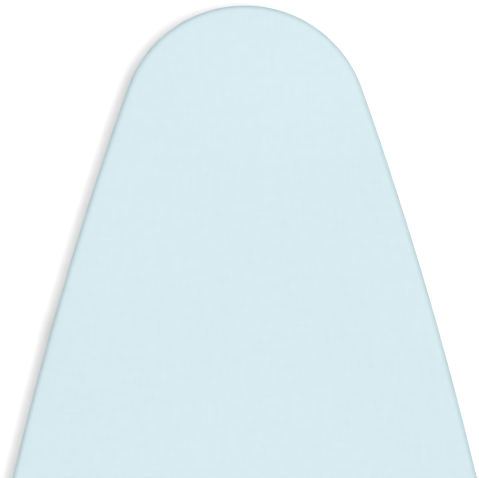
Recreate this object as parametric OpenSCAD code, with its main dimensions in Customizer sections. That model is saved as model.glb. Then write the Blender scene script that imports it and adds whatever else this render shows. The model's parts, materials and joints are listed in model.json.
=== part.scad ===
// Folding ironing board, standing open at its full height.
// Millimetres. +Z is up, the nose points towards +Y, and the floor is at z = 0.
// The origin is on the floor, under the middle of the board.

/* [Board outline] */
// Length of the covered board, tail to nose tip
board_length = 1372; // [1200:1:1500]
// Width of the covered board behind its taper
board_width = 381; // [330:1:460]
// Radius of the nose
nose_r = 71; // [55:1:90]
// Radius of each long, gently curved side
side_r = 2150; // [1700:10:2600]
// Radius of the two tail corners
tail_r = 55; // [30:1:80]
// Height of the ironing surface above the floor
board_height = 914; // [840:1:1000]

/* [Board layers] */
// Thickness of the cotton cover
cover_t = 1.2; // [0.8:0.1:2]
// Thickness of the felt pad
pad_t = 6; // [4:0.5:8]
// Thickness of the steel top panel
panel_t = 1.2; // [0.8:0.1:2]
// Depth of the rim that carries the panel
rim_h = 19.2; // [16:0.1:26]
// Sheet thickness of the rim
rim_t = 1.5; // [1:0.1:2]
// Width of the rim's inward bottom lip
rim_lip = 9; // [6:0.5:10]
// Width that the cover's hem turns in under the board
hem_w = 24; // [22:0.5:26]
// Width of the tunnel sewn into the hem
tunnel_w = 9; // [8:0.5:11]
// Width of the elastic in the tunnel
elastic_w = 6; // [4:0.5:7]
// Thickness of the elastic
elastic_t = 1; // [0.6:0.1:1.4]

/* [Panel vents] */
// Width of one vent
vent_w = 30; // [20:1:36]
// Length of one vent
vent_l = 26; // [16:1:30]
// Spacing of the vents across the board
vent_pitch_x = 46; // [42:1:60]
// Spacing of the vent rows along the board
vent_pitch_y = 32; // [32:1:50]
// Solid margin round the vents
vent_margin = 16; // [10:1:30]

/* [Cross braces] */
// Depth of a cross brace
brace_h = 12.6; // [10:0.1:14]
// Sheet thickness of a cross brace
brace_t = 1.2; // [1:0.1:1.6]
// Width of the front brace, over the fixed pivot
front_brace_w = 34; // [30:1:40]
// Width of the middle and rear braces
brace_w = 22; // [16:1:26]
// Gap between the lever's grip and the middle brace
mid_brace_gap = 26; // [10:1:40]
// Rear brace, in front of the tail
rear_brace_in = 34; // [30:1:36]

/* [Leg linkage] */
// Angle between legs and board when the board stands open
open_angle = 50; // [44:1:52]
// Distance from the nose tip to the fixed pivot
nose_to_pivot = 321; // [260:1:380]
// Distance from the tail to the sliding axle when the legs are folded
tail_to_axle = 61; // [56:1:120]
// Gap between the hem and the folded legs
fold_gap = 3.4; // [2:0.1:8]
// Gap between the hem and the outer ears of the pivot brackets
hem_gap = 5.75; // [1:0.25:12]
// Gap between the inner and outer tubes
leg_gap = 8; // [8:0.5:9]
// Diameter of the leg tubes
leg_d = 22; // [20:0.5:22]
// Wall of the leg tubes
leg_wall = 1.2; // [1:0.1:1.6]
// Length of a leg tube beyond its top pivot
leg_end = 12; // [10:0.5:12]
// Thickness of the plug's flange on a tube end
plug_t = 2; // [1:0.5:2]

/* [Leg braces] */
// Width of the flat straps across the outer leg
strap_w = 26; // [20:1:34]
// Thickness of the straps
strap_t = 3; // [2:0.5:3]
// Depth that the straps are seated into the tubes
strap_seat = 1; // [0.5:0.1:1.5]
// Distance from the fixed pivot to the upper strap
upper_strap_at = 92; // [70:1:130]
// Distance from the fixed pivot to the lower strap
lower_strap_at = 850; // [780:1:940]
// Diameter of the inner leg's cross tube
cross_tube_d = 16; // [12:0.5:18]
// Distance from the sliding pivot to the cross tube
cross_tube_at = 800; // [700:1:960]

/* [Feet] */
// Diameter of the foot bars
foot_d = 25.4; // [22:0.1:25.4]
// Length of the foot bars
foot_length = 388; // [340:1:400]
// Wall of the foot caps
cap_wall = 2.8; // [2:0.1:4]
// Length of the foot caps along the bar
cap_length = 38; // [26:1:50]
// Thickness of a foot cap's closed end
cap_end = 4; // [3:0.5:6]
// Depth of the flat on the sole of a foot cap
sole_flat = 1.5; // [0.8:0.1:1.8]

/* [Fixed pivot] */
// Diameter of the pivot bolts
bolt_d = 8; // [6:0.5:8]
// Across-corners size of the bolt heads and nuts
bolt_head_d = 15; // [13:0.5:16]
// Thickness of the bolt heads
bolt_head_t = 4.5; // [3:0.5:5]
// Thickness of the thin nuts at the fixed pivot
pivot_nut_t = 3; // [2.5:0.1:3.2]
// Sheet thickness of the pivot brackets
bracket_t = 2; // [1.5:0.1:2]
// Half length of the pivot brackets along the board
bracket_r = 13; // [12:0.5:14]
// Outer diameter of the nylon pivot bushes
bush_d = 12; // [11:0.5:14]
// Diameter of the bush flanges
bush_flange_d = 19; // [16:0.5:20]
// Thickness of the bush flanges
bush_flange_t = 1; // [0.8:0.1:1]

/* [Centre pivot] */
// Thickness of the lock nuts at the crossing
lock_nut_t = 6; // [5:0.5:7]
// Diameter of the nylon spacers at the crossing
spacer_d = 20; // [16:0.5:24]

/* [Slide and rack] */
// Half width of the slide, to the outside of its rails
slide_half_w = 30; // [26:0.5:32]
// Sheet thickness of the rails
rail_t = 1.5; // [1.2:0.1:2]
// Gap between the rails and the lower strap when the legs are folded
strap_gap = 1; // [0.5:0.1:2]
// Width of the rails' top flanges
rail_flange = 10; // [8:0.5:12]
// Length of the rails in front of the middle brace
rail_land = 15; // [0:1:30]
// Gap between the rear end of the rails and the hem
rail_hem_gap = 2; // [1:0.5:8]
// Width of the rack
rack_w = 16; // [12:0.5:18]
// Thickness of the rack behind its teeth
rack_t = 2; // [1.5:0.1:3]
// Height of the rack's teeth
tooth_h = 4.5; // [3:0.5:4.5]
// Spacing of the rack's teeth
tooth_pitch = 20; // [16:1:24]

/* [Slider and lever] */
// Diameter of the sliding axle
axle_d = 8; // [6:0.5:10]
// Thickness of the axle's end caps
axle_cap_t = 5; // [4:0.5:6]
// Diameter of the axle's end caps
axle_cap_d = 17; // [15:0.5:20]
// Reach of the slider block behind its axle
block_back = 18; // [14:0.5:20]
// Reach of the slider block in front of its axle
block_front = 56; // [55:0.5:60]
// Height of the slider block above its axle
block_above = 8; // [7:0.5:9]
// Height of the rails' bottom edge below the slider block
block_lift = 1; // [0.5:0.1:2]
// Wall of the bosses that run in the slots
boss_wall = 1.6; // [1.2:0.1:1.8]
// Half length of the bosses, between the centres of their round ends
boss_half = 4; // [2:0.5:8]
// Distance from the axle to the lever's pivot
lever_at = 45; // [43:0.5:46]
// Diameter of the lever wire
lever_d = 6; // [5:0.5:6]
// Distance from the lever's pivot to its cross run
lever_reach = 45; // [40:1:48]
// Radius of the bends in the lever wire, to the wire's middle
lever_bend_r = 7; // [6:0.5:9]
// Gap between the lever's cross run and the folded legs
lever_gap = 6; // [4:0.5:7]
// Gap between the free end of the lever's wire and the hem
lever_hem_gap = 9.5; // [7:0.5:30]
// Length of the plastic grip
grip_length = 46; // [36:1:60]
// Diameter of the plastic grip
grip_d = 12; // [9:0.5:12]
// Thickness of the pawl
pawl_t = 5; // [4:0.5:6]
// Width of the pawl's tip
tip_width = 7; // [5:0.5:10]
// Distance of the pawl's tip in front of the axle
tip_ahead = 7; // [6:0.5:9]
// Diameter of the return spring's wire
spring_wire_d = 1.6; // [1:0.1:2]
// Number of coils in the return spring
spring_coils = 4; // [3:1:5]

/* [Fits] */
// Radial running clearance of a shaft in its bore
run_fit = 0.05; // [0.02:0.01:0.1]
// Side gap between two parts that turn past each other
side_gap = 0.5; // [0.3:0.1:0.6]
// Gap between the slider block and its rails
slide_gap = 0.4; // [0.3:0.1:0.5]
// Gap between the pawl's tip and the rack's teeth
pawl_gap = 0.5; // [0.4:0.1:1]

/* [Hidden] */

// Curve quality of small rounds, and of the long side curves
round_fn = 48;
side_fn = 720;
// Overshoot of a cutting shape past the face that it cuts
cut = 1;

// Colours that nodes share: coated steel and its fittings, zinc, caps, dark plastic and pale nylon
coat_colour = [0.77, 0.78, 0.79];
fitting_colour = [0.74, 0.75, 0.76];
zinc_colour = [0.72, 0.73, 0.75];
cap_colour = [0.35, 0.36, 0.38];
dark_colour = [0.25, 0.26, 0.28];
nylon_colour = [0.9, 0.9, 0.88];

// How far the axle stands proud of the tubes, inside its caps
axle_proud = 1;

half_len = board_length / 2;
half_w = board_width / 2;
tail_y = -half_len;

// The nose circle is tangent to both side arcs, and each side arc runs on into the straight side.
side_run = sqrt(pow(side_r - nose_r, 2) - pow(side_r - half_w, 2));
nose_y = half_len - nose_r;
side_y = nose_y - side_run;
// The nose circle stands this much proud of the side arcs where it meets them, so that they cross cleanly
nose_lap = 0.02;
tangent_rise = side_run / (side_r - nose_r);

// Levels, from the ironing surface down
pad_z = board_height - cover_t - pad_t;
panel_z = pad_z - panel_t;
rim_z = pad_z - rim_h;
hem_z = rim_z - cover_t;
tunnel_top = hem_z + 2 * cover_t + elastic_t;
brace_z = panel_z - brace_h;

// Inset of each layer's edge from the edge of the cover
rim_in = cover_t;
panel_in = cover_t + rim_t;

// Linkage, with both top pivots at one height
leg_r = leg_d / 2;
pivot_y = half_len - nose_to_pivot;
pivot_z = hem_z - fold_gap - leg_r;
cap_r = foot_d / 2 + cap_wall;
foot_axis_z = cap_r - sole_flat;
leg_len = (pivot_z - foot_axis_z) / sin(open_angle);
axle_fold_y = tail_y + tail_to_axle;
pivot_to_crossing = (pivot_y - axle_fold_y) / 2;
axle_y = pivot_y - 2 * pivot_to_crossing * cos(open_angle);

// Fixed pivot, inwards along the bolt from the hem to the inner leg
ear_out_x = half_at(pivot_y, 0) - hem_w - hem_gap - bracket_t;
bush_out_x = ear_out_x - side_gap;
outer_leg_x = bush_out_x - bush_flange_t - leg_r;
bush_in_x = outer_leg_x - leg_r - bush_flange_t;
ear_in_x = bush_in_x - side_gap - bracket_t;
inner_leg_x = outer_leg_x - leg_d - leg_gap;
bolt_r = bolt_d / 2;
bore_r = bolt_r + run_fit;

// Slider and slots
axle_r = axle_d / 2;
boss_r = axle_r + boss_wall;
slot_r = boss_r + slide_gap;
rail_in_x = slide_half_w - rail_t;
rail_below = leg_r - strap_seat - strap_gap;
block_below = rail_below - block_lift;
boss_x = slide_half_w + rail_t;

// Lever
lever_r = lever_d / 2;
lever_rise = leg_r + lever_r + lever_gap;
lever_run_y = axle_y + lever_at + lever_reach;
lever_length = norm([lever_reach, lever_rise]);
boss_clear = 1;
coil_clear = 0.2;
wire_r = spring_wire_d / 2;
coil_x = boss_x + boss_clear;
coil_pitch = spring_wire_d + coil_clear;
lever_bend_x = coil_x + spring_coils * coil_pitch + wire_r + lever_bend_r;
lever_end_x = half_at(lever_run_y, 0) - hem_w - lever_hem_gap;
pawl_slot = pawl_t / 2 + slide_gap;
tip_z = panel_z - rack_t - tooth_h - pawl_gap;

// Cross braces and rails
front_brace_y = pivot_y;
mid_brace_y = lever_run_y + grip_d / 2 + mid_brace_gap + brace_w / 2;
rear_brace_y = tail_y + rear_brace_in;
rail_front_y = mid_brace_y + brace_w / 2 + rail_land;
rail_rear_y = tail_y + hem_w + rail_hem_gap;
slot_rear_y = axle_fold_y - boss_half - slide_gap;
slot_front_y = axle_y + lever_at + slide_gap;

// Half width of the board at a distance y from its middle, inset from the edge
function half_at(y, inset) =
  y > nose_y + (nose_r - inset) * tangent_rise
    ? sqrt(max(0, pow(nose_r - inset, 2) - pow(y - nose_y, 2)))
    : y > side_y
      ? half_w - side_r + sqrt(pow(side_r - inset, 2) - pow(y - side_y, 2))
      : half_w - inset;

// Outline of the board: round nose, long side arcs, straight sides, round tail corners
module outline(inset) {
  taper_end = nose_y + (nose_r - inset) * tangent_rise;
  straight_x = half_w - inset;
  straight_end = tail_y + tail_r;
  translate([0, nose_y - nose_lap]) circle(r = nose_r - inset + nose_lap, $fn = round_fn * 2);
  intersection() {
    translate([half_w - side_r, side_y]) circle(r = side_r - inset, $fn = side_fn);
    translate([side_r - half_w, side_y]) circle(r = side_r - inset, $fn = side_fn);
    translate([-half_w, side_y]) square([board_width, taper_end - side_y]);
  }
  polygon([
    [-straight_x, straight_end],
    [straight_x, straight_end],
    [straight_x, side_y],
    [-straight_x, side_y]
  ]);
  for (s = [-1, 1])
    translate([s * (half_w - tail_r), straight_end]) circle(r = tail_r - inset, $fn = round_fn * 2);
  translate([tail_r - half_w, tail_y + inset]) square([board_width - 2 * tail_r, tail_r + cut]);
}

// A level layer of the board
module layer(z, thick, inset) {
  translate([0, 0, z]) linear_extrude(thick) outline(inset);
}

// A band that follows the board's edge, between two insets
module band(z, thick, inset_out, inset_in) {
  difference() {
    layer(z, thick, inset_out);
    layer(z - cut, thick + 2 * cut, inset_in);
  }
}

// A cylinder along X between two places
module bar_x(x_from, x_to, r, fn = round_fn) {
  translate([x_from, 0, 0]) rotate([0, 90, 0]) cylinder(r = r, h = x_to - x_from, $fn = fn);
}

// A block with rounded vertical corners, centred in X and Y
module rounded_block(size_x, size_y, size_z, r) {
  linear_extrude(size_z) {
    square([size_x - 2 * r, size_y], center = true);
    square([size_x, size_y - 2 * r], center = true);
    for (i = [-1, 1], j = [-1, 1])
      translate([i * (size_x / 2 - r), j * (size_y / 2 - r)]) circle(r = r, $fn = round_fn);
  }
}

// Frame of the outer leg: +Y runs from the fixed pivot to the foot, and +Z faces the board when folded
module on_outer_leg() {
  translate([0, pivot_y, pivot_z]) mirror([0, 1, 0]) rotate([-open_angle, 0, 0]) children();
}

// Frame of the inner leg: +Y runs from the sliding axle to the foot
module on_inner_leg() {
  translate([0, axle_y, pivot_z]) rotate([-open_angle, 0, 0]) children();
}

// Frame of the slider, at the axle
module on_slider() {
  translate([0, axle_y, pivot_z]) children();
}

// A leg tube along +Y, drilled for its top pivot and the crossing, and coped onto the foot bar
module leg_tube(x, top_bore_r) {
  difference() {
    translate([x, -leg_end, 0]) rotate([-90, 0, 0])
      cylinder(r = leg_r, h = leg_len + leg_end, $fn = round_fn);
    translate([x, -leg_end - cut, 0]) rotate([-90, 0, 0])
      cylinder(r = leg_r - leg_wall, h = leg_len + leg_end + 2 * cut, $fn = round_fn);
    translate([0, leg_len, 0]) bar_x(x - leg_d, x + leg_d, foot_d / 2);
    bar_x(x - leg_d, x + leg_d, top_bore_r);
    translate([0, pivot_to_crossing, 0]) bar_x(x - leg_d, x + leg_d, bore_r);
  }
}

// A plug in the top end of a leg tube
module tube_plug(x) {
  plug_in = 5;
  translate([x, -leg_end - plug_t, 0]) rotate([-90, 0, 0]) cylinder(r = leg_r, h = plug_t, $fn = round_fn);
  translate([x, -leg_end - plug_t, 0]) rotate([-90, 0, 0])
    cylinder(r = leg_r - leg_wall - run_fit, h = plug_t + plug_in, $fn = round_fn);
}

// A flat strap welded across the outer leg, on its board side (s = 1) or its floor side (s = -1),
// with a shallow relief where each inner tube lies when the legs are folded
module leg_strap(at, s) {
  strap_corner = 5;
  difference() {
    translate([0, at, s * (leg_r - strap_seat + strap_t / 2) - strap_t / 2])
      rounded_block(2 * outer_leg_x + leg_d, strap_w, strap_t, strap_corner);
    for (i = [-1, 1]) {
      translate([i * outer_leg_x, at - strap_w, 0]) rotate([-90, 0, 0])
        cylinder(r = leg_r, h = 2 * strap_w, $fn = round_fn);
      translate([i * inner_leg_x, at - strap_w, 0]) rotate([-90, 0, 0])
        cylinder(r = leg_r + side_gap, h = 2 * strap_w, $fn = round_fn);
    }
  }
}

// The tube that a leg stands on
module foot_bar() {
  translate([0, leg_len, 0]) difference() {
    bar_x(-foot_length / 2, foot_length / 2, foot_d / 2);
    bar_x(-foot_length / 2 - cut, foot_length / 2 + cut, foot_d / 2 - leg_wall);
  }
}

// Body of the cap on the right end of a foot bar, with a rounded rim on its closed end
module foot_cap_body() {
  edge_r = 4;
  translate([foot_length / 2 + cap_end - cap_length, leg_len, 0]) rotate([0, 90, 0]) difference() {
    rotate_extrude($fn = round_fn * 2) {
      square([cap_r, cap_length - edge_r]);
      square([cap_r - edge_r, cap_length]);
      translate([cap_r - edge_r, cap_length - edge_r]) circle(r = edge_r, $fn = round_fn);
    }
    translate([0, 0, -cut])
      cylinder(r = foot_d / 2 + run_fit, h = cap_length - cap_end + cut, $fn = round_fn * 2);
  }
}

// Removes what reaches below the floor, which leaves each foot cap a flat sole
module above_floor() {
  difference() {
    children();
    translate([-board_width, -board_length, -cap_r]) cube([2 * board_width, 2 * board_length, cap_r]);
  }
}

// A hexagon bolt along X: its head outboard, its shank reaching in
module hex_bolt(s, head_x, shank_end_x) {
  mirror([s < 0 ? 1 : 0, 0, 0]) {
    bar_x(head_x, head_x + bolt_head_t, bolt_head_d / 2, 6);
    bar_x(shank_end_x, head_x, bolt_r);
  }
}

// A hexagon nut along X
module hex_nut(s, x, thick) {
  mirror([s < 0 ? 1 : 0, 0, 0]) difference() {
    bar_x(x, x + thick, bolt_head_d / 2, 6);
    bar_x(x - cut, x + thick + cut, bore_r);
  }
}

// A shallow channel across the board, open upwards against the panel, ending on the rim
module cross_brace(y, width) {
  intersection() {
    translate([-half_w, y - width / 2, brace_z]) difference() {
      cube([board_width, width, brace_h]);
      translate([-cut, brace_t, brace_t]) cube([board_width + 2 * cut, width - 2 * brace_t, brace_h]);
    }
    layer(brace_z, brace_h, panel_in);
  }
}

// Bracket under the front brace: a web and two ears that hold the pivot bolt
module pivot_bracket(s) {
  web_w = ear_out_x + bracket_t - ear_in_x;
  mirror([s < 0 ? 1 : 0, 0, 0]) difference() {
    union() {
      translate([ear_in_x, pivot_y - bracket_r, brace_z - bracket_t]) cube([web_w, 2 * bracket_r, bracket_t]);
      for (x = [ear_in_x, ear_out_x]) {
        translate([x, pivot_y - bracket_r, pivot_z]) cube([bracket_t, 2 * bracket_r, brace_z - pivot_z]);
        translate([0, pivot_y, pivot_z]) bar_x(x, x + bracket_t, bracket_r);
      }
    }
    translate([0, pivot_y, pivot_z]) bar_x(ear_in_x - cut, ear_out_x + bracket_t + cut, bore_r);
  }
}

// Cotton cover: the top, the side that wraps the rim, and the hem with its sewn tunnel
module cover() {
  tunnel_in = hem_w - tunnel_w;
  color([0.84, 0.92, 0.94]) difference() {
    union() {
      layer(board_height - cover_t, cover_t, 0);
      band(hem_z, board_height - hem_z, 0, cover_t);
      band(hem_z, cover_t, 0, hem_w);
      band(hem_z, tunnel_top - hem_z, tunnel_in, hem_w);
    }
    band(hem_z + cover_t, elastic_t, tunnel_in + cover_t, hem_w - cover_t);
  }
}

// Elastic that draws the hem in
module hem_elastic() {
  side_room = (tunnel_w - elastic_w) / 2;
  color([0.93, 0.93, 0.9]) band(hem_z + cover_t, elastic_t, hem_w - tunnel_w + side_room, hem_w - side_room);
}

// Felt pad
module pad() {
  color([0.93, 0.92, 0.88]) layer(pad_z, pad_t, cover_t);
}

// True where a vent clears the rim, the braces and the slide
function vent_fits(x, y) =
  abs(x) + vent_w / 2 < min(half_at(y + vent_l / 2, 0), half_at(y - vent_l / 2, 0)) - vent_margin
  && y + vent_l / 2 < half_len - vent_margin
  && y - vent_l / 2 > tail_y + vent_margin + rim_lip
  && abs(y - front_brace_y) > (vent_l + front_brace_w) / 2
  && abs(y - mid_brace_y) > (vent_l + brace_w) / 2
  && abs(y - rear_brace_y) > (vent_l + brace_w) / 2
  && (y > rail_front_y + vent_l || abs(x) > slide_half_w + vent_w / 2);

// Steel panel with rows of diamond vents
module top_panel() {
  rows = floor(half_len / vent_pitch_y);
  columns = floor(half_w / vent_pitch_x);
  color(coat_colour) translate([0, 0, panel_z]) linear_extrude(panel_t) difference() {
    outline(panel_in);
    for (j = [-rows : rows], i = [-columns - 1 : columns]) {
      x = (i + (j % 2 == 0 ? 0.5 : 0)) * vent_pitch_x;
      y = j * vent_pitch_y;
      if (vent_fits(x, y))
        translate([x, y]) polygon([[-vent_w / 2, 0], [0, -vent_l / 2], [vent_w / 2, 0], [0, vent_l / 2]]);
    }
  }
}

// Rim: an upright band round the panel with a lip turned in at its foot
module rim_frame() {
  color(coat_colour) {
    band(rim_z, rim_h, rim_in, rim_in + rim_t);
    band(rim_z, rim_t, rim_in, rim_in + rim_lip);
  }
}

module front_brace() {
  color(coat_colour) cross_brace(front_brace_y, front_brace_w);
}

module mid_brace() {
  color(coat_colour) cross_brace(mid_brace_y, brace_w);
}

module rear_brace() {
  color(coat_colour) cross_brace(rear_brace_y, brace_w);
}

module pivot_bracket_left() {
  color(fitting_colour) pivot_bracket(-1);
}

module pivot_bracket_right() {
  color(fitting_colour) pivot_bracket(1);
}

// Bolts that the outer leg turns on, held by the brackets
module pivot_bolts() {
  color(zinc_colour) for (s = [-1, 1])
    translate([0, pivot_y, pivot_z]) hex_bolt(s, ear_out_x + bracket_t, ear_in_x - pivot_nut_t);
}

module pivot_nuts() {
  color(zinc_colour) for (s = [-1, 1])
    translate([0, pivot_y, pivot_z]) hex_nut(s, ear_in_x - pivot_nut_t, pivot_nut_t);
}

// Slotted rail that guides one side of the slider, notched over the braces
module slide_rail(s) {
  rail_z = pivot_z - rail_below;
  mirror([s < 0 ? 1 : 0, 0, 0]) difference() {
    union() {
      translate([rail_in_x, rail_rear_y, rail_z])
        cube([rail_t, rail_front_y - rail_rear_y, panel_z - rail_z]);
      translate([slide_half_w - rail_flange, rail_rear_y, panel_z - rail_t])
        cube([rail_flange, rail_front_y - rail_rear_y, rail_t]);
    }
    translate([rail_in_x - cut, slot_rear_y, pivot_z - slot_r])
      cube([rail_t + 2 * cut, slot_front_y - slot_rear_y, 2 * slot_r]);
    for (y = [slot_rear_y, slot_front_y])
      translate([0, y, pivot_z]) bar_x(rail_in_x - cut, slide_half_w + cut, slot_r);
    for (y = [mid_brace_y, rear_brace_y])
      translate([0, y - brace_w / 2, brace_z]) cube([board_width, brace_w, brace_h + cut]);
  }
}

module slide_rail_left() {
  color(fitting_colour) slide_rail(-1);
}

module slide_rail_right() {
  color(fitting_colour) slide_rail(1);
}

// Ratchet strip that sets the height, with a tooth for each step
module rack() {
  rack_front_y = axle_y + lever_at;
  rack_rear_y = rear_brace_y + brace_w / 2;
  teeth = floor((rack_front_y - rack_rear_y) / tooth_pitch);
  tooth_tip = 5;
  tooth_root = 9;
  color(zinc_colour) translate([rack_w / 2, 0, 0]) rotate([90, 0, -90]) linear_extrude(rack_w) {
    translate([-rack_front_y, panel_z - rack_t]) square([rack_front_y - rack_rear_y, rack_t]);
    for (k = [0 : teeth - 1])
      translate([k * tooth_pitch - rack_front_y, panel_z - rack_t])
        polygon([
          [0, rack_t / 2],
          [0, 0],
          [tooth_root - tooth_tip, -tooth_h],
          [tooth_root, -tooth_h],
          [tooth_root, rack_t / 2]
        ]);
  }
}

module outer_tube_left() {
  color(coat_colour) on_outer_leg() leg_tube(-outer_leg_x, bush_d / 2 + run_fit);
}

module outer_tube_right() {
  color(coat_colour) on_outer_leg() leg_tube(outer_leg_x, bush_d / 2 + run_fit);
}

module outer_plugs() {
  color(cap_colour) on_outer_leg() for (s = [-1, 1]) tube_plug(s * outer_leg_x);
}

// Flanged nylon bushes, one pressed into each side of each tube
module outer_bushes() {
  middle_gap = 1;
  color(nylon_colour) on_outer_leg() for (s = [-1, 1]) mirror([s < 0 ? 1 : 0, 0, 0]) difference() {
    union() {
      bar_x(bush_in_x, outer_leg_x - middle_gap, bush_d / 2);
      bar_x(outer_leg_x + middle_gap, bush_out_x, bush_d / 2);
      bar_x(bush_in_x, bush_in_x + bush_flange_t, bush_flange_d / 2);
      bar_x(bush_out_x - bush_flange_t, bush_out_x, bush_flange_d / 2);
    }
    bar_x(bush_in_x - cut, bush_out_x + cut, bore_r);
  }
}

module outer_upper_strap() {
  color(coat_colour) on_outer_leg() leg_strap(upper_strap_at, 1);
}

module outer_lower_strap() {
  color(coat_colour) on_outer_leg() leg_strap(lower_strap_at, -1);
}

module outer_foot_bar() {
  color(coat_colour) on_outer_leg() foot_bar();
}

module outer_foot_cap_left() {
  color(cap_colour) above_floor() on_outer_leg() mirror([1, 0, 0]) foot_cap_body();
}

module outer_foot_cap_right() {
  color(cap_colour) above_floor() on_outer_leg() foot_cap_body();
}

// Bolts that the legs turn on where they cross
module centre_bolts() {
  shank_end = inner_leg_x - leg_r - side_gap - lock_nut_t;
  color(zinc_colour) on_outer_leg() translate([0, pivot_to_crossing, 0]) for (s = [-1, 1])
    hex_bolt(s, outer_leg_x + leg_r, shank_end);
}

module centre_nuts() {
  color(zinc_colour) on_outer_leg() translate([0, pivot_to_crossing, 0]) for (s = [-1, 1])
    hex_nut(s, inner_leg_x - leg_r - side_gap - lock_nut_t, lock_nut_t);
}

// Nylon spacers between the two legs at the crossing
module centre_spacers() {
  color(nylon_colour) on_outer_leg() translate([0, pivot_to_crossing, 0]) for (s = [-1, 1])
    mirror([s < 0 ? 1 : 0, 0, 0]) difference() {
      bar_x(inner_leg_x + leg_r + side_gap, outer_leg_x - leg_r, spacer_d / 2);
      bar_x(inner_leg_x, outer_leg_x, bore_r);
    }
}

module inner_tube_left() {
  color(coat_colour) on_inner_leg() leg_tube(-inner_leg_x, axle_r + run_fit);
}

module inner_tube_right() {
  color(coat_colour) on_inner_leg() leg_tube(inner_leg_x, axle_r + run_fit);
}

module inner_plugs() {
  color(cap_colour) on_inner_leg() for (s = [-1, 1]) tube_plug(s * inner_leg_x);
}

// Cross tube between the inner leg's tubes, coped onto both
module inner_cross_tube() {
  color(coat_colour) on_inner_leg() difference() {
    translate([0, cross_tube_at, 0]) bar_x(-inner_leg_x, inner_leg_x, cross_tube_d / 2);
    translate([0, cross_tube_at, 0]) bar_x(-board_width, board_width, cross_tube_d / 2 - leg_wall);
    for (s = [-1, 1])
      translate([s * inner_leg_x, cross_tube_at - cross_tube_d, 0]) rotate([-90, 0, 0])
        cylinder(r = leg_r, h = 2 * cross_tube_d, $fn = round_fn);
  }
}

module inner_foot_bar() {
  color(coat_colour) on_inner_leg() foot_bar();
}

module inner_foot_cap_left() {
  color(cap_colour) above_floor() on_inner_leg() mirror([1, 0, 0]) foot_cap_body();
}

module inner_foot_cap_right() {
  color(cap_colour) above_floor() on_inner_leg() foot_cap_body();
}

// Axle across the top of the inner leg, which slides along the rails
module slide_axle() {
  color(zinc_colour) on_slider()
    bar_x(-inner_leg_x - leg_r - axle_proud, inner_leg_x + leg_r + axle_proud, axle_r);
}

// Push-on caps that keep the axle in the tubes
module axle_caps() {
  color(cap_colour) on_slider() for (s = [-1, 1]) mirror([s < 0 ? 1 : 0, 0, 0]) difference() {
    bar_x(inner_leg_x + leg_r, inner_leg_x + leg_r + axle_cap_t, axle_cap_d / 2);
    bar_x(inner_leg_x, inner_leg_x + leg_r + axle_proud, axle_r + run_fit);
  }
}

// Nylon block between the rails: a boss in each slot, and a clevis for the pawl in front
module slider_block() {
  block_half_w = rail_in_x - slide_gap;
  wall_by_axle = 5;
  pocket_from = axle_r + wall_by_axle;
  color(dark_colour) on_slider() difference() {
    union() {
      translate([-block_half_w, -block_back, -block_below])
        cube([2 * block_half_w, block_back + block_front, block_above + block_below]);
      for (y = [-boss_half, boss_half]) translate([0, y, 0]) bar_x(-boss_x, boss_x, boss_r);
      translate([-boss_x, -boss_half, -boss_r]) cube([2 * boss_x, 2 * boss_half, 2 * boss_r]);
    }
    bar_x(-boss_x - cut, boss_x + cut, axle_r + run_fit);
    translate([0, lever_at, 0]) bar_x(-block_half_w - cut, block_half_w + cut, lever_r + run_fit);
    translate([-pawl_slot, pocket_from, -block_below - cut])
      cube([2 * pawl_slot, block_front, block_above + block_below + 2 * cut]);
  }
}

// Torsion spring round the lever's pivot: its coils, and the straight end that bears under the axle
module return_spring() {
  coil_r = lever_r + 2 * wire_r;
  end_z = -axle_r - wire_r - side_gap;
  end_run = lever_at + axle_r;
  end_angle = atan(-(end_z + coil_r) / end_run);
  color([0.6, 0.61, 0.63]) on_slider() {
    for (k = [1 : spring_coils])
      translate([coil_x + k * coil_pitch, lever_at, 0]) rotate([0, 90, 0])
        rotate_extrude($fn = round_fn) translate([coil_r, 0]) circle(r = wire_r, $fn = 24);
    translate([coil_x, lever_at, -coil_r]) rotate([90 + end_angle, 0, 0])
      cylinder(r = wire_r, h = end_run, $fn = 24);
  }
}

// Frame of the lever: +Y runs from its pivot to its cross run
module on_lever() {
  on_slider() translate([0, lever_at, 0]) rotate([atan(lever_rise / lever_reach), 0, 0]) children();
}

// A quarter bend of the lever wire about a centre, starting at an angle
module wire_bend(x, y, start_angle) {
  translate([x, y, 0]) rotate([0, 0, start_angle]) rotate_extrude(angle = 90, $fn = round_fn * 2)
    translate([lever_bend_r, 0]) circle(r = lever_r, $fn = round_fn);
}

// Squeeze lever: one bent wire, from its pivot in the block to its grip
module lever_wire() {
  rail_clear = 3;
  start_x = rail_clear - rail_in_x;
  color(zinc_colour) on_lever() {
    bar_x(start_x, lever_bend_x - lever_bend_r, lever_r);
    wire_bend(lever_bend_x - lever_bend_r, lever_bend_r, -90);
    translate([lever_bend_x, lever_bend_r, 0]) rotate([-90, 0, 0])
      cylinder(r = lever_r, h = lever_length - 2 * lever_bend_r, $fn = round_fn);
    wire_bend(lever_bend_x + lever_bend_r, lever_length - lever_bend_r, 90);
    translate([0, lever_length, 0]) bar_x(lever_bend_x + lever_bend_r, lever_end_x, lever_r);
  }
}

// Plastic grip pushed on the end of the lever, with a round closed end
module lever_grip() {
  grip_r = grip_d / 2;
  end_wall = 4;
  color(dark_colour) on_lever()
    translate([lever_end_x + end_wall - grip_length, lever_length, 0]) rotate([0, 90, 0])
      rotate_extrude($fn = round_fn * 2) difference() {
        union() {
          square([grip_r, grip_length - grip_r]);
          translate([0, grip_length - grip_r]) intersection() {
            circle(r = grip_r, $fn = round_fn);
            square(grip_r);
          }
        }
        translate([0, -cut]) square([lever_r + run_fit, grip_length - end_wall + cut]);
      }
}

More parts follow.
